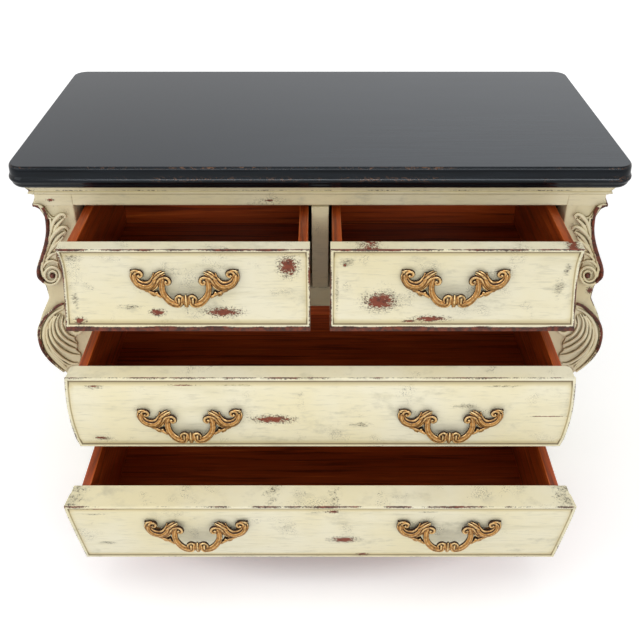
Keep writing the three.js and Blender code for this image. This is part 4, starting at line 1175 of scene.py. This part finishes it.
def makeBoards(name):
    # Sides with the groove for the bottom board, then the back
    bottomLow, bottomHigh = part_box(name + "_bottom")
    middle, top = (bottomLow.z + bottomHigh.z) / 2, bottomHigh.z
    for hand, inward in (("left", 1), ("right", -1)):
        node = name + "_" + hand + "_side"
        board = addBox(node + "_eased", *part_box(node))
        sliceAt(board, 2, (bottomLow.z - 0.0003, top + 0.0003))
        editSelect(board, "FACE", lambda face: face.normal.x * inward > 0.9
                   and abs(face.calc_center_median().z - middle) < 0.002)
        groove = (-inward * frontShape["sideGroove"], 0, 0)
        bpy.ops.mesh.extrude_region_move(TRANSFORM_OT_translate={"value": groove})
        leaveEdit()
        roundEdges(board, frontShape["boardBevel"])
        supportLoops(board, frontShape["boardLoop"], "xXZ")
        markArrises(board, 0.5)
        smoothShade(board)
        dress(board, stainAlong, name, "drawer_wood", node)
    node = name + "_back"
    board = addBox(node + "_eased", *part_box(node))
    roundEdges(board, frontShape["boardBevel"])
    # Thin light line where the back meets the bottom board
    sliceAt(board, 2, [top + step * frontShape["glueLine"] for step in (0.1, 0.6, 1.4, 2)])
    leaveEdit()
    rise = (coordinates(board)[:, 2] - top) / frontShape["glueLine"]
    mark(board, "crest", (rise > 0.5) & (rise < 1.5))
    smoothShade(board)
    dress(board, stainAcross, name, "drawer_wood", node)
    recolour(nodes[name + "_bottom"], stainAcross)


for name, settings in drawers.items():
    makeFront(name, settings)
    makeBoards(name)
print("drawers made")


# Pulls: one casting of ribs. Places in mm from the pull's middle, its top and the face it stands on, and
# the radius at both ends and in the middle

pullRibs = {
    "rib1": ([(102.4, -6.1, 6), (103.1, -14.8, 7), (98.6, -24.5, 8), (90.8, -33.2, 8), (81.4, -38, 8),
              (72.7, -39.1, 8), (65.6, -36, 7)], (2, 3.6, 2.6)),
    "rib2": ([(98, -8.3, 8), (98, -15.1, 9), (93.6, -22.9, 10), (86.8, -28.9, 11), (78.2, -31.4, 11),
              (69.5, -29.4, 10), (62.4, -22.4, 10), (57.2, -15.1, 9), (53.4, -8.9, 7), (49.8, -5, 5)],
             (2.6, 3.9, 1.8)),
    "rib3": ([(92.9, -10.2, 8), (91.6, -16.1, 9), (86.2, -21.4, 10), (78.2, -24, 10), (70.3, -22.4, 10),
              (64.5, -17.6, 9), (60.7, -12, 8), (58.5, -6, 5)], (2.4, 3.2, 1.8)),
    "body": ([(97.5, -12, 5), (96, -20, 7), (90, -27, 8), (80, -31, 8), (70, -31, 8), (62, -25, 8), (56, -16, 7)],
             (5.4, 7.6, 5)),
    "volute": ([(95, -11.1, 8), (94, -5.5, 8), (87.8, -2.6, 8), (82.6, -5.2, 8), (82.5, -10.5, 8), (86.6, -12.6, 9),
                (89.4, -8.8, 9)], (3.1, 3.6, 2.8)),
    "topLeaf": ([(102.2, -4.4, 7), (98.8, -1.4, 8), (92.4, -0.4, 8), (86.1, -1.6, 8), (81.4, -6.2, 7)],
                (2, 2.4, 1.8)),
    "tip": ([(98, -5, 7), (101.6, -2.4, 6), (103, 0.2, 4)], (3.2, 2.6, 1)),
    "leafSpine": ([(66, -25, 8), (60, -18.5, 10), (53, -11.5, 11), (45.5, -6.2, 11), (37, -2.8, 9)], (2.6, 3.6, 1.3)),
    "leafUpper": ([(61, -17.5, 8), (55.5, -9, 9), (49, -3.6, 9), (42.5, -1.6, 7)], (2.6, 3, 1.2)),
    "leafLower": ([(57, -18, 8), (50, -12.6, 10), (42.5, -9.2, 10), (36.4, -7.4, 8)], (2, 2.4, 1.1)),
    "lobeA": ([(63.5, -19, 7), (61.6, -12.6, 7)], (3, 2.4, 1.4)),
    "lobeB": ([(58, -12, 8), (56, -5.4, 7)], (2.8, 2.2, 1.2)),
    "lobeC": ([(69, -22.5, 7), (67.6, -17.4, 6)], (2.4, 1.8, 1)),
    "voluteHeart": ([(88.6, -8.6, 4), (88.4, -7.6, 7.6)], (4.6, 4.4, 3)),
    "cross1": ([(76.6, -40.7, 6), (67.2, -38, 8), (59.2, -31.1, 10), (52.9, -22.2, 11), (48.2, -16.6, 11),
                (40.3, -13.6, 11)], (2, 3, 3)),
    "cross2": ([(69.5, -43.5, 6), (62.9, -40.2, 8), (56.1, -34, 10), (50.6, -25.5, 11), (45.5, -18.2, 12)],
               (1.6, 2.4, 2.2)),
    "bailCurl": ([(48, -18, 10), (41, -13.6, 11), (33.4, -14, 12), (29.4, -19.4, 12), (31, -25, 12),
                  (35.6, -26.2, 12), (37.3, -22.3, 12), (34.8, -20.1, 12)], (3, 3.7, 3)),
    "bailBody": ([(42, -17, 8.4), (44.4, -26, 10.4), (45, -35, 12.4), (43.4, -43.7, 14), (39.6, -51.4, 15.6),
                  (33.6, -58, 17.4), (26, -63, 18.8), (17, -64.4, 19.8), (9, -61, 20.6)], (4.4, 5.2, 5)),
    "bailOuter": ([(45.8, -19.5, 10), (47.6, -25.7, 12), (48.5, -33.8, 14), (47.4, -42.2, 16), (44.1, -50.8, 17),
                   (38.8, -58.5, 19), (31.9, -65.2, 20), (24.5, -68.8, 21), (16.6, -69.2, 22), (10.3, -66.4, 23)],
                  (2.4, 2.9, 2.6)),
    "bailInner": ([(39.8, -21.5, 11), (41.2, -28.8, 13), (41.4, -36, 15), (39.7, -43, 16), (35.5, -49.7, 18),
                   (29.1, -55.3, 20), (22, -58.5, 21), (14.2, -58.4, 22), (8.7, -56.6, 23)], (2.2, 2.6, 2.4)),
    "lowBand": ([(84.5, -38.5, 6), (74.3, -43.1, 7), (66.4, -45.6, 8), (58.5, -47.6, 10), (51.4, -50.4, 13),
                 (46, -52.5, 15)], (2.4, 4, 3.6)),
    "lowLeafA": ([(69.5, -42.9, 7), (66.4, -49, 7), (62, -55, 5)], (3.6, 3.8, 2)),
    "lowLeafB": ([(80.3, -39.8, 6), (77.4, -46, 5)], (3, 2.8, 1.6)),
    "lowLeafC": ([(58.5, -43.4, 9), (54.5, -49, 10), (51, -53, 12)], (4.2, 4, 2.4)),
    "lowLeafD": ([(88, -36.5, 6), (86.6, -41, 5)], (2, 1.5, 0.8)),
    "shellTop": ([(18, -60, 22), (20, -53.6, 22), (17, -48, 23), (11.6, -45.6, 24), (7.2, -48.6, 24),
                  (7.6, -54.4, 25)], (2.6, 3, 2.6)),
    "shellScroll": ([(7.6, -54.6, 25), (8.5, -62.1, 25), (12.6, -67.6, 24), (19, -69.4, 22)], (2.8, 3.2, 2.2)),
    "shellFan": ([(13.4, -64, 24), (13, -57, 25), (13.6, -50.6, 24)], (2.6, 3, 2.4)),
    "shellRibA": ([(1.6, -70, 23), (4.2, -57.2, 26), (5.6, -46, 23)], (1.8, 2.4, 1.9)),
}
middleRib = ([(0, -70.4, 23), (0, -57, 27), (0, -44.4, 23)], (2, 2.8, 2))
pullShape = {"voxel": 0.00062, "drops": {"upper": 0.045, "middle": 0.060, "bottom": 0.042},
             "stretch": 1.1, "lower": 2, "thicken": 1.14, "standOff": 0.74,
             "aside": {"bottom_drawer_left_pull": 0.0105},
             "boss": (0.0833, -0.0375), "bossRadius": 0.0065, "studRadius": 0.002, "nutRadius": 0.005,
             "rodHollow": 0.12, "smoothing": 0.4,
             # relief lays painted shade on the flanks of the casting, turned away from the front, along with its
             # hollows
             "relief": {"rounds": 10, "scale": 0.0005, "sideShade": 1.0, "facing": 0.84}}


def makeCasting():
    strands = []
    for line, radii in [*pullRibs.values(), middleRib]:
        sizes = spread(radii, len(line)) / 1000 * pullShape["thicken"]
        for hand in (1, -1):
            strands.append([((hand * x / 1000, (0.6 - proud * pullShape["standOff"]) / 1000,
                              (z * pullShape["stretch"] - pullShape["lower"]) / 1000), radius)
                            for (x, z, proud), radius in zip(line, sizes)])
            if line[0][0] == 0:
                break
    casting = addStrands("casting", strands, 3)
    applyModifier(casting, "REMESH", mode="VOXEL", voxel_size=pullShape["voxel"])
    applyModifier(casting, "SMOOTH", factor=pullShape["smoothing"], iterations=1)
    markRelief(casting, **pullShape["relief"])
    return casting


def addRod(name, radius, x, z, front, back, bevel):
    # Round bar along Y with eased ends
    deselectAll()
    bpy.ops.mesh.primitive_cylinder_add(radius=radius, depth=back - front, vertices=24,
                                        location=(x, (front + back) / 2, z), rotation=(math.radians(90), 0, 0))
    rod = bpy.context.object
    rod.name = name
    bpy.ops.object.transform_apply(location=True, rotation=True, scale=True)
    roundEdges(rod, bevel)
    mark(rod, "crest", 0)
    mark(rod, "hollow", pullShape["rodHollow"])
    return rod


def makePulls():
    casting = makeCasting()
    bossX, bossZ = pullShape["boss"]
    for name, settings in drawers.items():
        low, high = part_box(name + "_front")
        back = high.y
        pullTop = high.z - pullShape["drops"][name.split("_")[0]]
        topDepth, bossDepth = (thicknessAt(settings["thickness"], (z - low.z) / (high.z - low.z))
                               for z in (pullTop, pullTop + bossZ))
        plane = back - max(topDepth, bossDepth)
        # radius, front end, back end and bevel
        rods = {"boss": (pullShape["bossRadius"], plane - 0.007, back - bossDepth + 0.0005, 0.0012),
                "stud": (pullShape["studRadius"], back - bossDepth, back + 0.004, 0.0005),
                "nut": (pullShape["nutRadius"], back + 0.0003, back + 0.0033, 0.0006)}
        for node in [node for node in nodes if node.startswith(name) and node.endswith("pull")]:
            nodeLow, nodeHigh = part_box(node)
            x = (nodeLow.x + nodeHigh.x) / 2 + pullShape["aside"].get(node, 0)
            parts = [copyPiece(casting, "cast", (x, plane, pullTop))]
            for hand in (1, -1):
                for kind, (radius, front, end, bevel) in rods.items():
                    parts.append(addRod(kind, radius, x + hand * bossX, pullTop + bossZ, front, end, bevel))
            pull = joinPieces(node + "_cast", parts)
            smoothShade(pull, 180)
            dress(pull, gilt, name, "gilt_metal", node)
    bpy.data.objects.remove(casting)


makePulls()
print("pulls cast")


# Hidden framework keeps its solids and gets unfinished timber

for name, node in nodes.items():
    if name.endswith(("_runner", "_kicker")):
        recolour(node, timberAlong)
    elif name.endswith(("_dust_panel", "_glue_block", "back_panel", "back_top_rail")):
        recolour(node, timberAcross)


# Floor, white backdrop and soft studio light; the floor carries a painted shadow under the chest

studio = {
    "floor": (0.93, 0.93, 0.93, 1), "paintedShadowGlow": 0.08, "floorGlow": 0.3, "farGlow": 0.6, "world": 0.6,
    "shadowReach": (1.5, 2.27, 0),  # one over the half width and half depth of the shadow
    "shadowEdge": (0.74, 0.95), "farEdge": (1.0, 4.0),
    "lamps": [
        # place, aim, width, height, watts
        ((0.3, -3.4, 2.1), (0, -0.2, 0.4), 4.4, 0.4, 46),
        ((-2.6, -1.6, 2.2), (0, 0, 0.4), 2.0, 2.0, 15),
        ((0.0, -0.5, 3.6), (0, -0.3, 0.4), 2.4, 2.4, 21),
    ],
}

deselectAll()
bpy.ops.mesh.primitive_plane_add(size=24, location=(0, 0, -0.0005))
floor = bpy.context.object
floor.name = "floor"
floorPaint, tree, shader, place = newMaterial("paleFloor")
shader.inputs["Base Color"].default_value = studio["floor"]
shader.inputs["Roughness"].default_value = 0.9
shader.inputs["Specular IOR Level"].default_value = 0.1
path = addNode(tree, "LightPath", {})
# The floor's glow for the camera is lower in an oval under the chest: a painted shadow, deepening the cast one
paintedShadowDistance = distanceFrom(tree, stretched(tree, place, studio["shadowReach"]))
near = stepped(tree, paintedShadowDistance, *studio["shadowEdge"], studio["paintedShadowGlow"], studio["floorGlow"])
farther = stepped(tree, distanceFrom(tree, place), *studio["farEdge"], 0, studio["farGlow"] - studio["floorGlow"])
glow = combine(tree, "ADD", near, farther, clamp=False)
glow = combine(tree, "MULTIPLY", path.outputs["Is Camera Ray"], glow, clamp=False)
shader.inputs["Emission Color"].default_value = (1, 1, 1, 1)
tree.links.new(glow, shader.inputs["Emission Strength"])
floor.data.materials.append(floorPaint)

world = bpy.data.worlds.new("studio")
bpy.context.scene.world = world
world.use_nodes = True
sky = world.node_tree
sky.nodes.clear()
path = addNode(sky, "LightPath", {})
seen = combine(sky, "MAXIMUM", path.outputs["Is Camera Ray"], path.outputs["Is Glossy Ray"], clamp=False)
seen = combine(sky, "MAXIMUM", seen, path.outputs["Is Transmission Ray"], clamp=False)
strength = addNode(sky, "MapRange", {"Value": seen, "To Min": studio["world"], "To Max": 1.0})
backdrop = addNode(sky, "Background", {"Color": (1, 1, 1, 1), "Strength": strength.outputs[0]})
skyOutput = sky.nodes.new("ShaderNodeOutputWorld")
sky.links.new(backdrop.outputs[0], skyOutput.inputs["Surface"])

for place, aim, width, height, watts in studio["lamps"]:
    deselectAll()
    bpy.ops.object.light_add(type="AREA", location=place)
    lamp = bpy.context.object
    lamp.data.shape = "RECTANGLE"
    lamp.data.size = width
    lamp.data.size_y = height
    lamp.data.energy = watts
    lamp.rotation_euler = (Vector(aim) - Vector(place)).to_track_quat("-Z", "Y").to_euler()

bpy.context.scene.view_settings.view_transform = "Standard"
print("studio lit")
